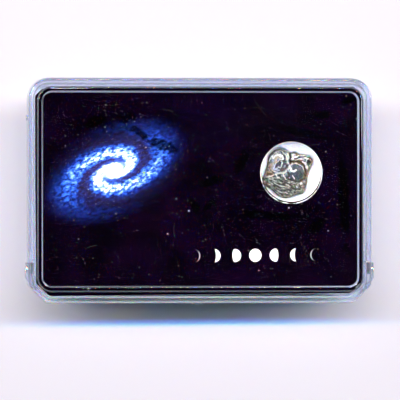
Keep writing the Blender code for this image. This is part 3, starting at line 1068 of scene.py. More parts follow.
@dataclass(frozen=True)
class CasePlan:
    """Outline of the case from above: round front corners and cut rear corners."""

    half_x: float
    half_y: float
    parting: float = 9.5 * MM
    parting_gap: float = 0.1 * MM
    front_radius: float = 3.5 * MM
    rear_cut: float = 3.0 * MM
    rear_soft: float = 1.2 * MM
    hinge_y: float = -14.6 * MM
    hinge_z: float = 4.4 * MM
    soft_edge: float = 0.06 * MM

    @classmethod
    def from_frame(cls) -> "CasePlan":
        """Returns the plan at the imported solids' size."""
        return cls(half_x=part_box("box_base")[1].x, half_y=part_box("box_lid")[1].y)

    def corners(self, inset: float, rear_inset: float = 0.0) -> list[Corner]:
        """Returns the corners of the outline, moved inwards.

        Args:
            inset: How far all sides move.
            rear_inset: How much further the rear sides move.

        Returns:
            Six corners, counter-clockwise from the front right.
        """
        side, front = self.half_x - inset, self.half_y - inset
        rear = front - rear_inset
        corner_sum = self.half_x + self.half_y - self.rear_cut - (inset + rear_inset) * math.sqrt(2)
        side_end, rear_end = side - corner_sum, corner_sum - rear
        radius = self.front_radius - inset
        return [
            Corner(side, front, radius), Corner(-side, front, radius),
            Corner(-side, side_end, self.rear_soft), Corner(-rear_end, -rear, self.rear_soft),
            Corner(rear_end, -rear, self.rear_soft), Corner(side, side_end, self.rear_soft),
        ]

    def outline(self, inset: float, rear_inset: float = 0.0) -> Outline:
        """Returns the outline, moved inwards."""
        return round_off(self.corners(inset, rear_inset))

    def stepped(self, inset: float, rear_half_x: float, step_y: float) -> Outline:
        """Returns an outline whose side walls stand further in behind a step.

        Args:
            inset: How far the outline moves inwards.
            rear_half_x: Half width behind the step.
            step_y: Where the step is.

        Returns:
            The outline's points.
        """
        c = self.corners(inset)
        side_end = rear_half_x - (c[4].x - c[4].y)
        return round_off([
            c[0], c[1], Corner(c[1].x, step_y), Corner(-rear_half_x, step_y),
            Corner(-rear_half_x, side_end, self.rear_soft), c[3], c[4],
            Corner(rear_half_x, side_end, self.rear_soft), Corner(rear_half_x, step_y),
            Corner(c[0].x, step_y),
        ])

    def front(self, inset: float, end_y: float) -> Outline:
        """Returns the front part of the outline, cut off square at end_y."""
        right, left = self.corners(inset)[:2]
        return round_off([right, left, Corner(left.x, end_y), Corner(right.x, end_y)])


@dataclass(frozen=True)
class SweptRing:
    """A raised ring of even section that follows a rectangle with round corners."""

    half_x: float
    half_y: float
    radius: float
    base: float
    crest: float
    shift_y: float = 0.0
    softness: float = 0.12 * MM

    def build(self, name: str, wide_z: float, narrow_z: float, material: Material) -> Piece:
        """Sweeps the ring's section along its path with Geometry Nodes.

        Args:
            name: The object's name.
            wide_z: Height of the wide side of the section.
            narrow_z: Height of the narrow side, above or below.
            material: Its material.

        Returns:
            A closed ring.
        """
        rise = abs(narrow_z - wide_z)
        hangs = narrow_z < wide_z
        upper, lower = (self.base, self.crest) if hangs else (self.crest, self.base)
        r = Recipe(name + "_sweep")
        path = r.add("GeometryNodeCurvePrimitiveQuadrilateral", {
            "Width": r.given("Width", 2 * self.half_x), "Height": r.given("Depth", 2 * self.half_y)})
        bent = r.filleted(path.outputs[0], "Corner radius", self.radius, 16)
        placed = r.moved(bent, r.vector(0.0, r.given("Shift", self.shift_y), wide_z))
        section = r.add("GeometryNodeCurvePrimitiveQuadrilateral", {
            "Bottom Width": r.given("Upper width", upper), "Top Width": r.given("Lower width", lower),
            "Height": r.given("Rise", rise), "Offset": 0.0}, mode="TRAPEZOID")
        soft = r.filleted(section.outputs[0], "Softness", self.softness, 4)
        upright = r.moved(soft, r.vector(0.0, rise / 2 if hangs else -rise / 2, 0.0))
        return r.make(name, r.swept(placed, upright), material)


@dataclass(frozen=True)
class Tray:
    """The clear tray with its lip, set-in hinge sides, pin sockets, foot ring and gate mark."""

    plan: CasePlan
    foot_height: float = 0.4 * MM
    floor_top: float = 1.4 * MM
    wall: float = 1.1 * MM
    draft: float = 0.3 * MM
    fillet: float = 0.35 * MM
    inner_fillet: float = 0.3 * MM
    lip_inset: float = 0.65 * MM
    lip_height: float = 0.9 * MM
    lip_root: float = 1.5 * MM
    lip_end_y: float = -9.8 * MM
    rear_bevel: tuple[float, float] = (0.85 * MM, 0.75 * MM)
    set_in_x: float = 26.75 * MM
    set_in_inner_x: float = 25.85 * MM
    set_in_front_y: float = -11.35 * MM
    inner_step_y: float = -10.4 * MM
    ledge_z: float = 2.4 * MM
    socket_radius: float = 0.95 * MM
    gate: tuple[float, float, float, float] = (-0.2 * MM, 7.4 * MM, 0.65 * MM, 0.3 * MM)
    foot: SweptRing = SweptRing(24.4 * MM, 14.7 * MM, 1.5 * MM, 0.9 * MM, 0.7 * MM)

    def shell(self) -> Piece:
        """Returns the outer body before anything is added or cut.

        Returns:
            The body.
        """
        plan, soft = self.plan, self.plan.soft_edge
        rim = plan.parting - plan.parting_gap
        layers = [(self.foot_height + rise, plan.outline(self.draft + inset))
                  for rise, inset in reversed(quarter_arc(self.fillet, 6))]
        layers.append((rim - self.rear_bevel[1], plan.outline(0.02 * MM)))
        layers.append((rim - soft, plan.outline(0.0, self.rear_bevel[0] - soft)))
        layers.append((rim, plan.outline(soft, self.rear_bevel[0] - soft)))
        return loft("clear_tray", layers)

    def cavity(self, top: float) -> Piece:
        """Returns the space inside the tray, with a round where the floor meets the walls.

        Args:
            top: Height that it reaches up to.

        Returns:
            The body that is cut away.
        """
        floor_inset = self.wall + self.draft * 0.8
        rear_x = self.set_in_inner_x - self.draft * 0.3
        layers = []
        for rise, inset in reversed(quarter_arc(self.inner_fillet, 4)):
            outline = self.plan.stepped(floor_inset + inset, rear_x - inset, self.inner_step_y)
            layers.append((self.floor_top + rise, outline))
        layers.append((top, self.plan.stepped(self.wall, self.set_in_inner_x, self.inner_step_y)))
        return loft("tray_cavity", layers)

    def gate_mark(self) -> Piece:
        """Returns the broken-off moulding gate on the hinge side.

        Returns:
            A short stub whose root is inside the wall.
        """
        x_mid, z_mid, radius, proud = self.gate
        stub = rounded_prism("gate_mark", circle((0, 0), radius, 28), 0.0, proud + 0.4 * MM, 0.1 * MM)
        root = -self.plan.half_y + 0.5 * MM
        for vertex in stub.data.vertices:
            x, y, z = vertex.co
            vertex.co = (x_mid + x, root - z, z_mid + y)
        return stub

    def hinge_cuts(self, side: Side) -> list[Piece]:
        """Returns what is cut away at one hinge: room for the ear and the pin's socket.

        Args:
            side: The hinge's side.

        Returns:
            The bodies that are cut away.
        """
        plan, sign = self.plan, side.value
        xs = sorted((sign * self.set_in_x, sign * (plan.half_x + 2 * MM)))
        low = (xs[0], -plan.half_y - 1 * MM, self.ledge_z)
        high = (xs[1], self.set_in_front_y, plan.parting + 2 * MM)
        xs = sorted((sign * (self.set_in_inner_x - 1 * MM), sign * (self.set_in_x + 1 * MM)))
        hole = circle((plan.hinge_y, plan.hinge_z), self.socket_radius, 40)
        socket = turn_to_side(loft(f"socket_{side.name}", [(xs[0], hole), (xs[1], hole)]))
        return [block(f"ear_room_{side.name}", low, high), socket]

    def build(self, plastic: Material) -> Piece:
        """Builds and dresses the tray.

        Args:
            plastic: The tray's material.

        Returns:
            The tray.
        """
        rim = self.plan.parting - self.plan.parting_gap
        lip_top = rim + self.lip_height
        tray = self.shell()
        lip_outline = self.plan.front(self.lip_inset, self.lip_end_y)
        lip = rounded_prism("lip", lip_outline, rim - self.lip_root, lip_top, 0.1 * MM)
        foot = self.foot.build("foot_ring", self.foot_height + 0.3 * MM, 0.0, plastic)
        shape(tray, "UNION", lip, foot, self.gate_mark())
        shape(tray, "DIFFERENCE", self.cavity(lip_top + 1 * MM))
        for side in Side:
            shape(tray, "DIFFERENCE", *self.hinge_cuts(side))
        finish_surface(tray, plastic)
        return hand_over(tray, Body.BOX, "clear_polystyrene", "box_base")


@dataclass(frozen=True)
class Lid:
    """The clear lid with its plate, skirt, stacking bead, hinge ears, pins and nubs."""

    plan: CasePlan
    plate_under: float = 12.6 * MM
    plate_top: float = 13.5 * MM
    bead_top: float = 14.0 * MM
    wall: float = 0.85 * MM
    draft: float = 0.22 * MM
    inner_draft: float = 0.15 * MM
    fillet: float = 0.35 * MM
    inner_fillet: float = 0.3 * MM
    rebate_inset: float = 0.43 * MM
    rebate_height: float = 1.15 * MM
    rebate_end_y: float = -10.3 * MM
    bead_root: float = 0.35 * MM
    bead: SweptRing = SweptRing(25.75 * MM, 16.0 * MM, 1.9 * MM, 1.35 * MM, 0.5 * MM, 0.2 * MM, 0.14 * MM)
    ear_inner_x: float = 26.95 * MM
    ear_outer_x: float = 28.05 * MM
    ear_front_y: float = -11.6 * MM
    ear_rear_y: float = -16.6 * MM
    ear_top_z: float = 11.8 * MM
    ear_radius: float = 1.75 * MM
    pin_radius: float = 0.8 * MM
    pin_tip_x: float = 26.0 * MM
    nub_y: float = 11.7 * MM
    nub_size: tuple[float, float, float] = (0.45 * MM, 0.8 * MM, 1.1 * MM)
    nub_proud: float = 0.15 * MM

    def shell(self) -> Piece:
        """Returns the lid's outer body, solid.

        Returns:
            The body.
        """
        plan, soft = self.plan, self.plan.soft_edge
        layers = [(plan.parting, plan.outline(soft)), (plan.parting + soft, plan.outline(0.0))]
        layers += [(self.plate_top - drop, plan.outline(self.draft + inset))
                   for drop, inset in quarter_arc(self.fillet, 8)]
        return loft("clear_lid", layers)

    def cavity(self) -> Piece:
        """Returns the space inside the lid, rounded under the plate.

        Returns:
            The body that is cut away.
        """
        plan, top_inset = self.plan, self.wall + self.inner_draft
        layers = [(plan.parting - 1 * MM, plan.outline(self.wall))]
        layers += [(self.plate_under - drop, plan.outline(top_inset + inset))
                   for drop, inset in quarter_arc(self.inner_fillet, 5)]
        return loft("lid_cavity", layers)

    def ear_outline(self) -> Outline:
        """Returns the (y, z) outline of an ear: a tongue with a round end about the pin.

        Returns:
            The outline's points.
        """
        plan, front, rear, steps = self.plan, self.ear_front_y, self.ear_rear_y, 20
        shoulder = self.ear_top_z + 0.4 * MM
        points = [(rear, plan.parting + 1.2 * MM), (rear, plan.parting - 1.0 * MM)]
        for angle in (math.pi + math.pi * step / steps for step in range(steps + 1)):
            y = plan.hinge_y + self.ear_radius * math.cos(angle)
            z = plan.hinge_z + self.ear_radius * math.sin(angle)
            points.append((y, z))
        points += [(front, plan.hinge_z + 2.2 * MM), (front, self.ear_top_z),
                   (front - 1.2 * MM, shoulder), (rear + 1.8 * MM, shoulder)]
        return [Vector(point) for point in points]

    def ear(self, side: Side) -> Piece:
        """Returns one hinge ear with its inward pin.

        Args:
            side: The ear's side.

        Returns:
            The ear.
        """
        plan, sign = self.plan, side.value
        xs = sorted((sign * self.ear_inner_x, sign * self.ear_outer_x))
        ear = turn_to_side(rounded_prism(f"ear_{side.name}", self.ear_outline(), xs[0], xs[1], 0.08 * MM))
        beyond, inner = self.ear_outer_x + 1 * MM, self.ear_inner_x - 0.4 * MM
        corners = ((self.ear_outer_x, -14.0 * MM), (27.35 * MM, -15.35 * MM), (inner, -16.5 * MM),
                   (inner, -19.0 * MM), (beyond, -19.0 * MM), (beyond, -12.2 * MM))
        outline = [Vector((sign * x, y)) for x, y in corners]
        if side is Side.RIGHT:
            outline.reverse()
        corner = loft(f"ear_corner_{side.name}", [(0.0, outline), (self.plate_top, outline)])
        shape(ear, "DIFFERENCE", corner)
        xs = sorted((sign * self.pin_tip_x, sign * (self.ear_inner_x + 0.4 * MM)))
        pin = circle((plan.hinge_y, plan.hinge_z), self.pin_radius, 36)
        shape(ear, "UNION", turn_to_side(rounded_prism(f"pin_{side.name}", pin, xs[0], xs[1], 0.1 * MM)))
        return ear

    def nub(self, side: Side) -> Piece:
        """Returns the small snap nub on a short side.

        Args:
            side: The nub's side.

        Returns:
            The nub.
        """
        outer = self.plan.half_x + self.nub_proud
        xs = sorted((side.value * outer, side.value * (outer - self.nub_size[0])))
        bottom = self.plan.parting + 0.15 * MM
        low = (xs[0], self.nub_y - self.nub_size[1] / 2, bottom)
        high = (xs[1], self.nub_y + self.nub_size[1] / 2, bottom + self.nub_size[2])
        return block(f"nub_{side.name}", low, high, 0.08 * MM)

    def build(self, plastic: Material, hazy: Material) -> Piece:
        """Builds and dresses the lid.

        Args:
            plastic: The clear material of the plate and its bead.
            hazy: The material of the bead's flanks and of all that is outside the bead.

        Returns:
            The lid.
        """
        lid = self.shell()
        rebate = self.plan.front(self.rebate_inset, self.rebate_end_y)
        low, high = self.plan.parting - 1 * MM, self.plan.parting + self.rebate_height
        shape(lid, "DIFFERENCE", self.cavity(), loft("lip_rebate", [(low, rebate), (high, rebate)]))
        bead = self.bead.build("bead_ring", self.plate_top - self.bead_root, self.bead_top, plastic)
        shape(lid, "UNION", bead)
        for side in Side:
            shape(lid, "UNION", self.ear(side), self.nub(side))
        finish_surface(lid, plastic, hazy)
        reach_x = self.bead.half_x + self.bead.base / 2
        reach_y = self.bead.half_y + self.bead.base / 2
        for face in lid.data.polygons:
            x, y, z = face.center
            outside = abs(x) > reach_x or abs(y - self.bead.shift_y) > reach_y
            flank = z > self.plate_top and abs(face.normal.z) < 0.8
            face.material_index = int(outside or flank)
        return hand_over(lid, Body.LID, "clear_polystyrene_lid", "box_lid")


# Nugget


def smooth_step(low: float | np.ndarray, high: float, value: np.ndarray) -> np.ndarray:
    """Returns 0 below low, 1 above high, and smooth between."""
    t = np.clip((value - low) / (high - low), 0.0, 1.0)
    return t * t * (3 - 2 * t)


@dataclass(frozen=True)
class Lobe:
    """An oval bump, or a bowl where its height is negative, in millimetres from the nugget's centre."""

    x: float
    y: float
    across: float
    along: float
    turn_degrees: float
    height: float
    crispness: float = 0.6
    flatness: float = 1.0
    lean: float = 0.0

    def cover(self, x: np.ndarray, y: np.ndarray) -> np.ndarray:
        """Returns 1 in its middle, falling to 0 at its edge.

        Args:
            x: Places across, in millimetres from the nugget's centre.
            y: Places up.

        Returns:
            A share for each place.
        """
        c, s = math.cos(math.radians(self.turn_degrees)), math.sin(math.radians(self.turn_degrees))
        dx, dy = x - self.x, y - self.y
        far = ((dx * c + dy * s) / self.across) ** 2 + ((dy * c - dx * s) / self.along) ** 2
        return np.clip(1 - far ** self.flatness, 0.0, 1.0)

    def raised(self, x: np.ndarray, y: np.ndarray) -> np.ndarray:
        """Returns how far it raises the surface; with a lean, more where Y is greater."""
        return self.height * self.cover(x, y) ** self.crispness * (1 + self.lean * (y - self.y))


@dataclass(frozen=True)
class Crest:
    """A narrow ridge along a line, or a groove where its height is negative."""

    line: tuple[tuple[float, float], ...]
    width: float
    height: float

    def cover(self, x: np.ndarray, y: np.ndarray) -> np.ndarray:
        """Returns 1 on the line, fading to 0 away from it.

        Args:
            x: Places across, in millimetres from the nugget's centre.
            y: Places up.

        Returns:
            A share for each place.
        """
        nearest = np.full_like(x, 1e9)
        for (ax, ay), (bx, by) in zip(self.line, self.line[1:]):
            ux, uy = bx - ax, by - ay
            t = np.clip(((x - ax) * ux + (y - ay) * uy) / (ux * ux + uy * uy), 0.0, 1.0)
            nearest = np.minimum(nearest, np.hypot(x - ax - t * ux, y - ay - t * uy))
        return np.exp(-((nearest / self.width) ** 2))

    def raised(self, x: np.ndarray, y: np.ndarray) -> np.ndarray:
        """Returns how far it raises the surface."""
        return self.height * self.cover(x, y)


@dataclass(frozen=True)
class Nugget:
    """The iron nugget: a pebble with knobs, bowls, ridges and a furrowed lower mass."""

    centre: tuple[float, float, float] = (14.2 * MM, 2.75 * MM, 9.75 * MM)
    half_height_mm: float = 1.75
    subdivisions: int = 7
    outline_mm: tuple[tuple[float, float], ...] = (
        (3.9, 1.2), (4.1, 1.85), (3.85, 2.5), (3.1, 2.9), (2.0, 3.1), (1.2, 3.5),
        (0.5, 3.4), (-0.4, 3.75), (-1.4, 3.9), (-2.2, 3.6), (-2.9, 2.9), (-3.1, 1.8),
        (-3.35, 0.8), (-3.7, -0.2), (-4.1, -1.4), (-3.4, -1.95), (-2.6, -2.5), (-2.0, -3.1),
        (-1.0, -3.75), (-0.2, -3.9), (0.7, -3.75), (1.6, -3.35), (2.55, -3.1), (2.9, -2.55),
        (3.2, -1.3), (3.3, -0.4), (3.6, 0.5),
    )
    knob: Lobe = Lobe(1.3, 0.18, 1.38, 1.42, 0, 0.72, 0.42, 2.2, 0.06)
    masses: tuple[Lobe, ...] = (
        Lobe(-0.1, -0.45, 1.2, 0.85, -30, 0.48, 0.45, 1.6), Lobe(-0.1, 3.1, 0.45, 0.95, 15, 0.45),
        Lobe(1.2, 2.95, 0.75, 0.5, 5, 0.4), Lobe(0.75, 2.3, 0.3, 0.4, 0, 0.4),
    )
    dips: tuple[Lobe, ...] = (
        Lobe(-1.1, 1.25, 1.25, 1.1, 15, -0.62, 0.8), Lobe(3.4, 1.75, 0.42, 0.55, 0, -0.35, 1.0),
        Lobe(-2.9, 0.05, 0.6, 0.5, 0, -0.15, 1.0), Lobe(-1.3, 1.5, 0.2, 0.16, 0, -0.12, 1.0),
        Lobe(-0.55, 1.95, 0.24, 0.2, 0, -0.12, 1.0), Lobe(1.45, 2.95, 0.2, 0.14, 0, -0.15, 1.0),
    )
    ridges: tuple[Crest, ...] = (
        Crest(((-3.8, -0.65), (-2.6, -0.4), (-2.0, -0.1), (-0.8, 0.0),
                (-0.3, 0.3), (0.1, 0.9), (0.3, 1.3)), 0.12, 0.36),
        Crest(((-2.0, -0.2), (-1.5, -0.7), (-1.2, -0.95)), 0.1, 0.22),
        Crest(((-0.75, -0.2), (-0.6, -0.6), (-0.4, -0.95)), 0.09, 0.16),
        Crest(((-2.9, 1.9), (-2.75, 2.6), (-2.2, 3.25), (-1.3, 3.7),
                (-0.9, 3.55), (-0.35, 2.8), (0.0, 1.6)), 0.13, 0.42),
        Crest(((-2.3, 2.7), (-1.8, 3.15), (-1.2, 3.3)), 0.1, 0.2),
        Crest(((-2.2, 1.0), (-1.9, 1.7), (-1.3, 2.15), (-0.8, 2.25)), 0.12, 0.22),
        Crest(((-1.05, 2.0), (-0.88, 1.6), (-1.0, 1.3)), 0.1, 0.24),
        Crest(((-1.5, 1.05), (-1.2, 0.92), (-1.0, 1.1)), 0.09, 0.16),
        Crest(((1.2, 2.55), (2.2, 2.85), (3.1, 2.9), (3.5, 2.6), (3.7, 2.1)), 0.13, 0.46),
        Crest(((1.1, 2.15), (1.9, 2.3), (2.6, 2.15)), 0.11, 0.3),
        Crest(((0.6, 3.3), (1.1, 3.4), (1.7, 3.3)), 0.1, 0.25),
        Crest(((1.4, -1.3), (1.75, -2.3), (2.1, -1.6)), 0.11, 0.26),
        Crest(((0.7, -2.0), (1.2, -2.3), (1.6, -2.1)), 0.1, 0.2),
    )
    crevice: Crest = Crest(((0.3, 3.4), (0.42, 2.6), (0.35, 1.6)), 0.17, -0.55)
    trough: Crest = Crest(((0.5, 1.8), (1.3, 1.98), (2.1, 1.75), (2.7, 1.1), (2.9, 0.2), (2.7, -0.9)),
                          0.2, -0.42)
    grooves: tuple[Crest, ...] = (
        Crest(((-2.2, 0.55), (-1.6, 0.25), (-0.9, 0.3), (-0.4, 0.7), (-0.15, 1.2)), 0.12, -0.22),
        Crest(((-2.45, 2.85), (-1.8, 3.42), (-1.2, 3.52)), 0.09, -0.2),
        Crest(((-1.4, -0.25), (-1.2, -0.85)), 0.1, -0.2),
        Crest(((-0.05, 0.4), (0.05, -0.3), (0.0, -0.9)), 0.1, -0.12),
        Crest(((0.1, -0.95), (0.8, -1.2), (1.5, -1.38), (2.3, -1.1)), 0.14, -0.3),
        Crest(((-2.9, 1.0), (-2.75, 0.45), (-2.2, 0.05)), 0.12, -0.2),
    )
    # Painted highlights: lines along which the material paints small light spots; the height is their
    # strength.
    painted_glints: tuple[Crest, ...] = (
        Crest(((0.3, 0.85), (0.5, 0.45), (0.95, 0.32), (1.2, 0.52)), 0.14, 1.0),
        Crest(((0.68, -0.3), (0.85, -0.6), (1.02, -0.92)), 0.08, 0.9),
        Crest(((-2.45, 2.75), (-2.4, 2.4)), 0.14, 1.0),
        Crest(((0.2, 1.0), (0.45, 1.42), (1.1, 1.66), (1.8, 1.5), (2.35, 1.0), (2.62, 0.5)), 0.07, 0.75),
        Crest(((0.65, 2.35), (0.8, 2.45)), 0.15, 1.0), Crest(((2.05, -1.65), (2.18, -1.6)), 0.14, 1.0),
        Crest(((1.35, -2.1), (1.5, -2.3)), 0.1, 0.9), Crest(((2.35, 1.85), (2.5, 1.7)), 0.1, 0.8),
        Crest(((2.8, 2.4), (3.0, 2.5)), 0.1, 0.9), Crest(((-1.3, 2.95), (-1.15, 2.75)), 0.17, 0.85),
        Crest(((-0.85, 2.85), (-0.7, 2.45), (-0.85, 2.2)), 0.13, 0.85),
        Crest(((-1.9, 2.95), (-1.6, 3.05)), 0.1, 0.8), Crest(((-1.05, 1.95), (-0.9, 1.6)), 0.1, 0.8),
        Crest(((-2.0, -0.2), (-1.85, -0.25)), 0.1, 0.8),
        Crest(((-2.95, 1.9), (-2.7, 2.6), (-2.1, 3.25), (-1.35, 3.6)), 0.075, 0.75),
        Crest(((-2.3, 2.45), (-1.9, 2.85), (-1.4, 3.0)), 0.16, 0.55),
        Crest(((0.85, 2.55), (2.1, 2.95), (3.5, 2.75)), 0.07, 0.75),
        Crest(((1.4, 2.2), (2.6, 2.45), (3.4, 2.4)), 0.07, 0.7),
        Crest(((2.5, 1.85), (2.85, 1.6), (3.0, 0.9)), 0.08, 0.7),
    )
    stains: tuple[Crest, ...] = (
        Crest(((-2.0, 2.3), (-1.5, 2.75), (-1.1, 2.6)), 0.2, 1.0),
        Crest(((-1.9, 2.0), (-2.5, 1.5), (-2.8, 0.9), (-2.5, 0.35)), 0.22, 1.0),
        Crest(((-3.3, 0.0), (-2.6, -0.05)), 0.32, 1.0),
        Crest(((1.0, 2.35), (1.6, 2.55), (2.3, 2.6)), 0.1, 1.0),
        Crest(((1.0, 2.0), (1.9, 2.1), (2.6, 1.7)), 0.2, 1.0),
        Crest(((1.3, 2.95), (1.6, 2.95)), 0.16, 1.0), Crest(((2.1, -1.1), (2.4, -1.4)), 0.2, 1.0),
    )
    pale: Lobe = Lobe(-1.2, 1.7, 2.2, 2.4, 0, 1.0, 1.0, 3.0)
    side_power: float = 0.82
    top_power: float = 0.8
    swell_mm: tuple[float, float, float] = (0.16, 0.16, 0.22)
    grain_mm: float = 0.03
    rough_grain_mm: float = 0.06
    crest_mm: tuple[float, float] = (0.035, 0.12)
    hollow_mm: tuple[float, float] = (0.02, 0.10)
    broad_rounds: int = 24
    narrow_rounds: int = 5

    def outline_radius(self, angle: np.ndarray, grown: float = 0.0) -> np.ndarray:
        """Returns the distance from the centre to the outline, in millimetres.

        Args:
            angle: Directions seen from above.
            grown: How much wider the outline is made.

        Returns:
            A distance for each direction, smooth through the outline's points.
        """
        spokes = sorted((math.atan2(y, x), math.hypot(x, y)) for x, y in self.outline_mm)
        angles = np.array([a for a, _ in spokes])
        reach = np.array([r for _, r in spokes])
        count = len(spokes)
        after = np.searchsorted(angles, angle, side="right") % count
        r0, r1, r2, r3 = (reach[(after + k) % count] for k in (-2, -1, 0, 1))
        start, end = angles[(after - 1) % count], angles[after]
        t = ((angle - start) % (2 * math.pi)) / ((end - start) % (2 * math.pi))
        bend = 2 * r0 - 5 * r1 + 4 * r2 - r3 + t * (3 * (r1 - r2) + r3 - r0)
        return r1 + 0.5 * t * (r2 - r0 + t * bend) + grown

    def rough_zone(self, x: np.ndarray, y: np.ndarray) -> np.ndarray:
        """Returns 1 on the coarse lower mass and round the rim, 0 on the smooth knobs.

        Args:
            x: Places across, in millimetres from the nugget's centre.
            y: Places up.

        Returns:
            A share for each place.
        """
        lower = smooth_step(-0.75, -1.15, y + 0.1 * x) * smooth_step(2.9, 2.2, x + 0.3 * y)
        rim = smooth_step(0.86, 0.97, np.hypot(x, y) / self.outline_radius(np.arctan2(y, x)))
        return np.maximum(lower, rim)

    def stirred(self, x: np.ndarray, y: np.ndarray) -> tuple[np.ndarray, np.ndarray]:
        """Returns places moved a little by noise, so that no line or lobe stays regular.

        Args:
            x: Places across, in millimetres from the nugget's centre.
            y: Places up.

        Returns:
            The moved places across and up.
        """
        reach, pace = 0.12, 1.9
        spots = [Vector((a * pace, b * pace, 7.0)) for a, b in zip(x, y)]
        aside = Vector((0.0, 0.0, 9.0))
        east = np.array([noise.fractal(spot, 0.8, 2.0, 4) for spot in spots])
        north = np.array([noise.fractal(spot + aside, 0.8, 2.0, 4) for spot in spots])
        return x + reach * east, y + reach * north

    def relief(self, x: np.ndarray, y: np.ndarray, wander: np.ndarray) -> np.ndarray:
        """Returns how far the top stands above or below the plain pebble.

        Args:
            x: Places across, in millimetres from the centre.
            y: Places up.
            wander: Slow noise that bends the furrows.

        Returns:
            Heights in millimetres.
        """
        lower = 0.5 * smooth_step(-0.35, -1.0, y + 0.12 * x) * smooth_step(2.6, 1.6, x)
        z = np.maximum.reduce([lower] + [mass.raised(x, y) for mass in (self.knob, *self.masses)])
        for feature in (*self.dips, self.crevice, self.trough, *self.grooves, *self.ridges):
            z = z + feature.raised(x, y)
        furrow = np.sin((y + 0.33 * x + 0.5 * wander) * 13.0) * (0.6 + wander)
        return z + 0.075 * furrow * smooth_step(-1.0, -1.6, y)

    def place(self, directions: np.ndarray) -> np.ndarray:
        """Returns the surface points in millimetres from the centre, for unit directions.

        Args:
            directions: Unit vectors from the nugget's centre, one in a row.

        Returns:
            A point in a row for each direction.
        """
        dx, dy, dz = directions.T
        angle = np.arctan2(dy, dx)
        reach = self.outline_radius(angle) * np.hypot(dx, dy) ** self.side_power
        x, y = reach * np.cos(angle), reach * np.sin(angle)
        z = np.sign(dz) * np.abs(dz) ** self.top_power * self.half_height_mm
        wander = np.array([noise.noise(Vector((a * 0.8, b * 0.8, 3.0))) for a, b in zip(x, y)])
        z = z + self.relief(*self.stirred(x, y), wander) * smooth_step(0.1, 0.5, dz)
        swell = np.array([noise.fractal(Vector(d) * 2.3, 0.9, 2.0, 3) for d in directions])
        swell = swell * smooth_step(0.35, -0.25, dz)
        points = np.stack([x, y, z], axis=1) + np.array(self.swell_mm) * swell[:, None] * directions
        grain = np.array([noise.fractal(Vector(p) * 3.0, 0.8, 2.0, 5) for p in points])
        rough = self.rough_zone(points[:, 0], points[:, 1])
        return points + directions * (grain * (self.grain_mm + self.rough_grain_mm * rough))[:, None]

    def bulge(self, mesh: bpy.types.Mesh, rounds: int) -> np.ndarray:
        """Returns how far each vertex stands out of its smoothed neighbourhood.

        Args:
            mesh: The nugget's mesh.
            rounds: Rounds of smoothing; more of them make the neighbourhood wider.

        Returns:
            A distance in millimetres for each vertex.
        """
        count = len(mesh.vertices)
        points = np.empty(count * 3)
        mesh.vertices.foreach_get("co", points)
        points = points.reshape(-1, 3) / MM
        normals = np.array([v.normal for v in mesh.vertices])
        ends = np.empty(len(mesh.edges) * 2, dtype=np.int64)
        mesh.edges.foreach_get("vertices", ends)
        a, b = ends.reshape(-1, 2).T
        degree = np.bincount(ends, minlength=count)[:, None]
        smooth = points.copy()
        for _ in range(rounds):
            total = np.zeros_like(smooth)
            np.add.at(total, a, smooth[b])
            np.add.at(total, b, smooth[a])
            smooth = total / degree
        return ((points - smooth) * normals).sum(axis=1)

    def build(self, iron: Material) -> Piece:
        """Builds and dresses the nugget.

        Args:
            iron: The nugget's material.

        Returns:
            The nugget.
        """
        ball = bmesh.new()
        bmesh.ops.create_icosphere(ball, subdivisions=self.subdivisions, radius=1.0)
        part = keep("iron_nugget", ball)
        mesh = part.data
        directions = np.array([v.co.normalized() for v in mesh.vertices])
        points = self.place(directions)
        mesh.vertices.foreach_set("co", (points * MM + np.array(self.centre)).ravel())
        mesh.update()
        mesh.shade_smooth()
        x, y = self.stirred(points[:, 0], points[:, 1])
        stand_out = self.bulge(mesh, self.broad_rounds) + self.bulge(mesh, self.narrow_rounds)
        rough = self.rough_zone(x, y)
        # Keeps the crests' wear and painted highlight off the knob's middle, on its rim only.
        worn = 1 - 0.9 * smooth_step(0.12, 0.4, self.knob.cover(x, y))
        stained = (self.trough, self.crevice, *self.stains)
        brown = np.maximum.reduce([stain.cover(x, y) for stain in stained])
        carried = (
            smooth_step(*self.crest_mm, stand_out) * worn,
            smooth_step(*self.hollow_mm, -stand_out),
            rough,
            np.maximum(brown, 0.6 * rough * smooth_step(0.5, 3.5, x)),
            np.maximum(self.pale.cover(x, y), smooth_step(2.2, 2.5, y)),
            np.maximum.reduce([painted_glint.raised(x, y) for painted_glint in self.painted_glints]),
        )
        for name, values in zip(CARRIED, carried):
            layer = mesh.attributes.new(name, "FLOAT", "POINT")
            layer.data.foreach_set("value", values.astype(np.float32))
        mesh.materials.append(iron)
        return hand_over(part, Body.BOX, "etched_iron", "meteorite")


# Foam and card


@dataclass(frozen=True)
class Hole:
    """The round hole in the card over the foam's pocket."""

    centre: tuple[float, float] = (14.7 * MM, 2.87 * MM)
    radius: float = 5.0 * MM
    bevel: float = 0.34 * MM


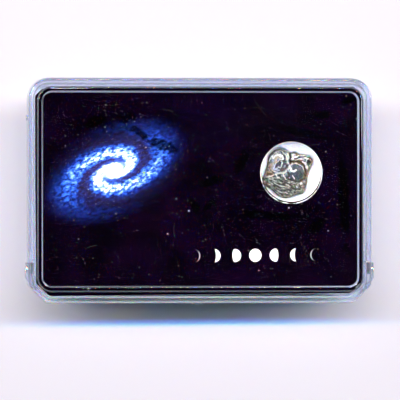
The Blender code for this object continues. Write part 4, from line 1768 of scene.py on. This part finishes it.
@dataclass(frozen=True)
class FoamBlock:
    """The white block with a soft-edged pocket that the nugget is pressed into."""

    plan: CasePlan
    hole: Hole
    nugget: Nugget
    inset: float = 2.05 * MM
    rear_half_x: float = 25.2 * MM
    step_y: float = -9.9 * MM
    floor_z: float = 9.9 * MM
    rim_radius: float = 4.95 * MM
    floor_radius: float = 3.7 * MM
    front_slope: float = 1.0 * MM
    shift_y: float = 0.36 * MM
    wall_power: float = 1.4
    nest_slope: float = 2.6
    nest_sink: float = 0.2 * MM
    nest_depth: float = 1.2 * MM
    rings: int = 60
    spokes: int = 144

    def surface(self, x: np.ndarray, y: np.ndarray, top: float) -> np.ndarray:
        """Returns the height of the pocket's surface.

        Args:
            x: Places across.
            y: Places up.
            top: Height of the block's top face.

        Returns:
            A height for each place: a bowl, pressed down close round the nugget.
        """
        across, up = x - self.hole.centre[0], y - self.hole.centre[1] - self.shift_y
        far = np.hypot(across, up)
        foot = self.floor_radius - self.front_slope * np.clip(up / np.maximum(far, 1e-6), 0.0, 1.0)
        rise = smooth_step(foot, self.rim_radius, far) ** self.wall_power
        bowl = self.floor_z + (top - self.floor_z) * rise
        dx, dy = (x - self.nugget.centre[0]) / MM, (y - self.nugget.centre[1]) / MM
        outside = np.hypot(dx, dy) - self.nugget.outline_radius(np.arctan2(dy, dx))
        nest = self.nugget.centre[2] + self.nest_slope * MM * np.clip(outside, 0.0, None) - self.nest_sink
        return np.minimum(bowl, nest) - self.nest_depth * smooth_step(-0.05, -0.9, outside)

    def pocket(self, top: float) -> Piece:
        """Returns the pocket as a body that stands out of the block's top face.

        Args:
            top: Height of the block's top face.

        Returns:
            The body that is cut away.
        """
        reach = self.rim_radius + self.shift_y + 0.05 * MM
        rows = []
        for ring in range(self.rings, -1, -1):
            radius = max(reach * (ring / self.rings) ** 0.8, 0.01 * MM)
            x, y = np.array([tuple(p) for p in circle(self.hole.centre, radius, self.spokes)]).T
            rows.append(list(zip(x, y, self.surface(x, y, top + 0.02 * MM))))
        return skin("pocket", [[(x, y, top + 1 * MM) for x, y, _ in rows[0]], *rows])

    def build(self, foam: Material) -> Piece:
        """Builds and dresses the block.

        Args:
            foam: The block's material.

        Returns:
            The block.
        """
        low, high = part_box("foam_insert")
        outline = self.plan.stepped(self.inset, self.rear_half_x, self.step_y)
        part = rounded_prism("foam_block", outline, low.z, high.z, 0.12 * MM)
        shape(part, "DIFFERENCE", self.pocket(high.z))
        finish_surface(part, foam, crease_degrees=50.0)
        hand_over(part, Body.BOX, "white_foam", "foam_insert")
        return part


@dataclass(frozen=True)
class Card:
    """The thin dark card with clipped corners and a punched hole."""

    hole: Hole
    size: tuple[float, float] = (52.6 * MM, 33.3 * MM)
    front_cut: float = 1.2 * MM
    rear_cut: float = 2.1 * MM
    centre: tuple[float, float] = (-0.2 * MM, -0.1 * MM)
    turn: float = math.radians(0.5)
    edge: float = 0.03 * MM
    spokes: int = 144
    level_normal: float = 0.95

    def outline(self) -> Outline:
        """Returns the card's outline as it lies, slightly turned.

        Returns:
            The outline's points, counter-clockwise.
        """
        half_x, half_y = self.size[0] / 2, self.size[1] / 2
        points: Outline = []
        for sx, sy, order in ((1, 1, 1), (-1, 1, -1), (-1, -1, 1), (1, -1, -1)):
            clip = self.front_cut if sy > 0 else self.rear_cut
            corners = [(half_x, half_y - clip), (half_x - clip, half_y)]
            points += [Vector((sx * x, sy * y)) for x, y in corners[::order]]
        (x0, y0), c, s = self.centre, math.cos(self.turn), math.sin(self.turn)
        return [Vector((x0 + p.x * c - p.y * s, y0 + p.x * s + p.y * c)) for p in points]

    def punched(self, radius: float, drawn_in: float) -> Outline:
        """Returns the hole's outline at one level; its near side is drawn in most."""
        centre, spokes = Vector(self.hole.centre), circle((0.0, 0.0), 1.0, self.spokes)
        return [centre + spoke * (radius - drawn_in * (0.6 - 0.4 * spoke.y)) for spoke in spokes]

    def punch(self, bottom: float, top: float) -> Piece:
        """Returns the punched hole as a body: its edge is drawn in towards the bottom.

        Args:
            bottom: Height of the card's underside.
            top: Height of its top.

        Returns:
            The body that is cut away.
        """
        radius, bevel, steps = self.hole.radius, self.hole.bevel, 6
        layers: Layers = [(bottom - 0.5 * MM, self.punched(radius, bevel))]
        for step in range(steps + 1):
            share = step / steps
            rim = self.punched(radius, bevel * (1 - share) ** 0.75)
            layers.append((bottom + (top - bottom) * share, rim))
        layers.append((top + 0.5 * MM, self.punched(radius + 0.02 * MM, 0.0)))
        return loft("punch", layers)

    def build(self) -> Piece:
        """Builds and dresses the card.

        Returns:
            The card.
        """
        low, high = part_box("printed_card")
        part = rounded_prism("dark_card", self.outline(), low.z, high.z, self.edge)
        shape(part, "DIFFERENCE", self.punch(low.z, high.z))
        centre_mm = [c / MM for c in self.centre] + [0.0]
        cut = CutCard().material(low.z / MM, (high.z - low.z) / MM, self.hole.centre[1] / MM)
        materials = (CardPrint().material(centre_mm, self.turn), GreyBoard().material(), cut)
        finish_surface(part, *materials, crease_degrees=30.0)
        for face in part.data.polygons:
            up = face.normal.z
            face.material_index = int(up < 0) if abs(up) > self.level_normal else len(materials) - 1
        return hand_over(part, Body.BOX, "printed_card", "printed_card")


# Dust, scuffs and fibres


@dataclass(frozen=True)
class Litter:
    """Dust specks and hairline scuffs on the lid, and paper fibres at the hole's edge."""

    lid: Lid
    hole: Hole
    speck_radius: float = 0.045 * MM
    specks_per_m2: float = 2.6e5
    scuff_length: float = 2.0 * MM
    scuff_radius: float = 0.008 * MM
    scuffs_per_m2: float = 0.7e4
    fibre_places: int = 44
    fibre_share: float = 0.36
    fibre_radius: float = 0.014 * MM
    fibre: tuple[tuple[float, float, float], ...] = (
        (0.0, 0.0, 0.0), (0.10 * MM, 0.02 * MM, 0.02 * MM),
        (0.18 * MM, 0.12 * MM, 0.04 * MM), (0.30 * MM, 0.10 * MM, 0.03 * MM),
    )
    seed: int = 11

    def field(self, r: Recipe, density: float, seed: int) -> Socket:
        """Returns random points on the lid's plate, inside the bead.

        Args:
            r: The tree.
            density: Points on a square metre.
            seed: Seed of the random draw.

        Returns:
            The points.
        """
        bead = self.lid.bead
        grid = r.add("GeometryNodeMeshGrid", {
            "Size X": r.given("Width", 2 * (bead.half_x - bead.base)),
            "Size Y": r.given("Depth", 2 * (bead.half_y - bead.base)), "Vertices X": 2, "Vertices Y": 2})
        place = r.vector(0.0, bead.shift_y, r.given("Height", self.lid.plate_top))
        spots = r.add("GeometryNodeDistributePointsOnFaces", {
            "Mesh": r.moved(grid.outputs[0], place), "Density": r.given("Density", density),
            "Seed": r.given("Seed", seed)})
        return spots.outputs["Points"]

    def specks(self, fluff: Material) -> Piece:
        """Builds the dust on the lid.

        Args:
            fluff: The dust's material.

        Returns:
            The dust.
        """
        r = Recipe("speck_scatter")
        points = self.field(r, self.specks_per_m2, self.seed)
        grain = r.add("GeometryNodeMeshIcoSphere", {
            "Radius": r.given("Speck radius", self.speck_radius), "Subdivisions": 1}).outputs[0]
        turn = r.spread(0.0, 2 * math.pi, self.seed + 1)
        size = r.vector(r.spread(0.4, 1.7, self.seed + 2), r.spread(0.4, 1.2, self.seed + 3), 0.3)
        return hand_over(r.make("lid_dust", r.laid(points, grain, turn, size), fluff), Body.LID)

    def scuffs(self, fluff: Material) -> Piece:
        """Builds the hairline scuffs on the lid.

        Args:
            fluff: The scuffs' material.

        Returns:
            The scuffs.
        """
        r = Recipe("scuff_scatter")
        points = self.field(r, self.scuffs_per_m2, self.seed + 7)
        half = r.times(r.given("Scuff length", self.scuff_length), 0.5)
        bow = r.vector(0.0, r.times(half, 0.16))
        thread = r.circle("Scuff radius", self.scuff_radius, 4)
        line = r.strand((r.vector(r.times(half, -1.0)), bow, bow, r.vector(half)), 8, thread)
        turn = r.spread(-0.5, 2.2, self.seed + 8)
        size = r.vector(r.spread(0.25, 1.6, self.seed + 9), 1.0, 1.0)
        return hand_over(r.make("lid_scuffs", r.laid(points, line, turn, size), fluff), Body.LID)

    def fibres(self, fluff: Material) -> Piece:
        """Builds the few paper fibres that the punch left at the hole's edge.

        Args:
            fluff: The fibres' material.

        Returns:
            The fibres.
        """
        r = Recipe("fibre_tufts")
        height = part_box("printed_card")[1].z
        rim = r.moved(r.circle("Hole radius", self.hole.radius, 90), (*self.hole.centre, height))
        spots = r.add("GeometryNodeCurveToPoints", {
            "Curve": rim, "Count": r.given("Places", self.fibre_places)}, mode="COUNT")
        chosen = r.add("FunctionNodeRandomValue", {
            "Probability": r.given("Share", self.fibre_share), "Seed": self.seed + 20}, data_type="BOOLEAN")
        thread = r.circle("Fibre radius", self.fibre_radius, 5)
        hair = r.strand(self.fibre, 6, thread)
        turn = r.spread(0.0, 2 * math.pi, self.seed + 21)
        size = r.vector(r.spread(0.5, 1.5, self.seed + 22), 1.0, 1.0)
        tufts = r.laid(spots.outputs["Points"], hair, turn, size, Selection=chosen.outputs[3])
        return hand_over(r.make("hole_fibres", tufts, fluff), Body.BOX)

    def build(self) -> None:
        """Builds all of it."""
        fluff = PaleFluff(opacity=0.6).material("pale_dust")
        scuff = PaleFluff(opacity=0.22).material("hairline_scuff")
        for piece in (self.specks(fluff), self.scuffs(scuff), self.fibres(fluff)):
            report(piece)


# Studio


@dataclass(frozen=True)
class Studio:
    """Pale floor, long strip lamps beyond the front, soft fill and the camera overhead.

    The lamps are thin strips in three colours that add up to white, so shadows end in soft colours.
    """

    picture_px: int = 400
    mm_per_px: float = 0.1608
    zero_px: tuple[float, float] = (199.5, 190.0)
    camera_distance: float = 0.72
    camera_lean_degrees: float = 3.5
    sight_height: float = 12.0 * MM
    sensor_mm: float = 36.0
    lamp_height: float = 0.36
    lamps: tuple[tuple[float, Colour], ...] = (
        (20.6, (0.83, 0.13, 0.05)), (19.1, (0.11, 0.68, 0.13)), (16.9, (0.05, 0.12, 0.71)),
    )
    lamp_size: tuple[float, float] = (2.4, 0.018)
    lamp_power: float = 8.35
    floor_colour: Colour = (0.70, 0.675, 0.76)
    floor_half: float = 1.5
    sky_strength: float = 0.17
    sky: tuple[tuple[float, Colour], ...] = (
        (0.0, (0.70, 1.0, 0.94)), (0.5, (0.50, 0.74, 0.76)), (0.85, (0.28, 0.40, 0.43)),
        (0.96, (0.006, 0.008, 0.010)),
    )

    def floor(self) -> None:
        """Lays the floor."""
        mesh = bmesh.new()
        bmesh.ops.create_grid(mesh, x_segments=1, y_segments=1, size=self.floor_half)
        floor = keep("floor", mesh)
        m = MaterialWriter("pale_floor")
        cloud = m.noise(m.place(), 0.01, 2.0)
        m.set(Base_Color=m.mix(cloud, self.floor_colour, toned(self.floor_colour, 0.98)), Roughness=0.9)
        floor.data.materials.append(m.material)

    def lamp(self, lean_degrees: float, colour: Colour) -> None:
        """Hangs one strip lamp.

        Args:
            lean_degrees: How far from straight above the box sees it.
            colour: Its light's colour.
        """
        light = bpy.data.lights.new("strip_lamp", "AREA")
        light.shape = "RECTANGLE"
        light.size, light.size_y = self.lamp_size
        light.energy = self.lamp_power
        light.color = colour
        lamp = add_object("strip_lamp", light)
        lean = math.radians(lean_degrees)
        lamp.location = (0.0, self.lamp_height * math.tan(lean), self.lamp_height)
        lamp.rotation_euler = (-lean, 0.0, 0.0)
        lamp.visible_camera = False
        lamp.visible_transmission = False

    def fill(self) -> None:
        """Sets a pale sky that is dark straight above, so that flat gloss stays dark."""
        world = bpy.data.worlds.new("soft_fill")
        bpy.context.scene.world = world
        world.use_nodes = True
        w = NodeWriter(world.node_tree)
        backdrop = world.node_tree.nodes["Background"]
        direction = w.add("ShaderNodeTexCoord").outputs["Generated"]
        up = w.add("ShaderNodeSeparateXYZ", {"Vector": direction}).outputs[2]
        w.feed(backdrop, "Color", w.ramp(up, *self.sky))
        w.feed(backdrop, "Strength", self.sky_strength)

    def camera(self) -> None:
        """Sets the camera above the box, leaning slightly to the left."""
        data = bpy.data.cameras.new("overhead")
        data.sensor_width = self.sensor_mm
        width = self.picture_px * self.mm_per_px * MM
        data.lens = self.sensor_mm * self.camera_distance / width
        data.clip_start, data.clip_end = 0.01, 10.0
        camera = add_object("overhead", data)
        middle = (self.picture_px - 1) / 2
        sight = Vector(((middle - self.zero_px[0]) * self.mm_per_px * MM,
                        (self.zero_px[1] - middle) * self.mm_per_px * MM, self.sight_height))
        lean = math.radians(self.camera_lean_degrees)
        camera.location = sight + self.camera_distance * Vector((-math.sin(lean), 0.0, math.cos(lean)))
        camera.rotation_euler = (0.0, -lean, 0.0)
        bpy.context.scene.camera = camera

    def build(self) -> None:
        """Sets the stage."""
        scene = bpy.context.scene
        scene.view_settings.view_transform = "Standard"
        scene.cycles.transparent_max_bounces = 32
        scene.cycles.transmission_bounces = 16
        scene.cycles.max_bounces = 20
        scene.cycles.caustics_refractive = True
        scene.cycles.caustics_reflective = False
        self.floor()
        for lean_degrees, colour in self.lamps:
            self.lamp(lean_degrees, colour)
        self.fill()
        self.camera()


def report(piece: Piece) -> None:
    """Logs a finished piece."""
    LOG.info("%s: %d faces", piece.name, len(piece.data.polygons))


def main() -> None:
    """Builds every part in order."""
    logging.basicConfig(level=logging.INFO, format="%(name)s: %(message)s")
    plan, hole, nugget = CasePlan.from_frame(), Hole(), Nugget()
    lid = Lid(plan)
    # The hazy walls take painted shade near the front wall and painted light near the rear wall.
    hazy = ClearPolystyrene(tint=(0.62, 0.68, 0.84), let_through=(0.965, 0.970, 0.980), clarity=0.8,
                            polish=0.04, haze=0.10, front_painted_shade=0.72, rear_painted_light=1.35)
    wall = hazy.material("hazy_polystyrene_wall")
    report(Tray(plan).build(replace(hazy, front_y_mm=16.7).material("hazy_polystyrene_tray")))
    report(lid.build(ClearPolystyrene().material("clear_polystyrene_plate"), wall))
    report(nugget.build(EtchedIron().material()))
    report(FoamBlock(plan, hole, nugget).build(WhiteFoam().material()))
    report(Card(hole).build())
    Litter(lid, hole).build()
    Studio().build()


if __name__ == "__main__":
    main()
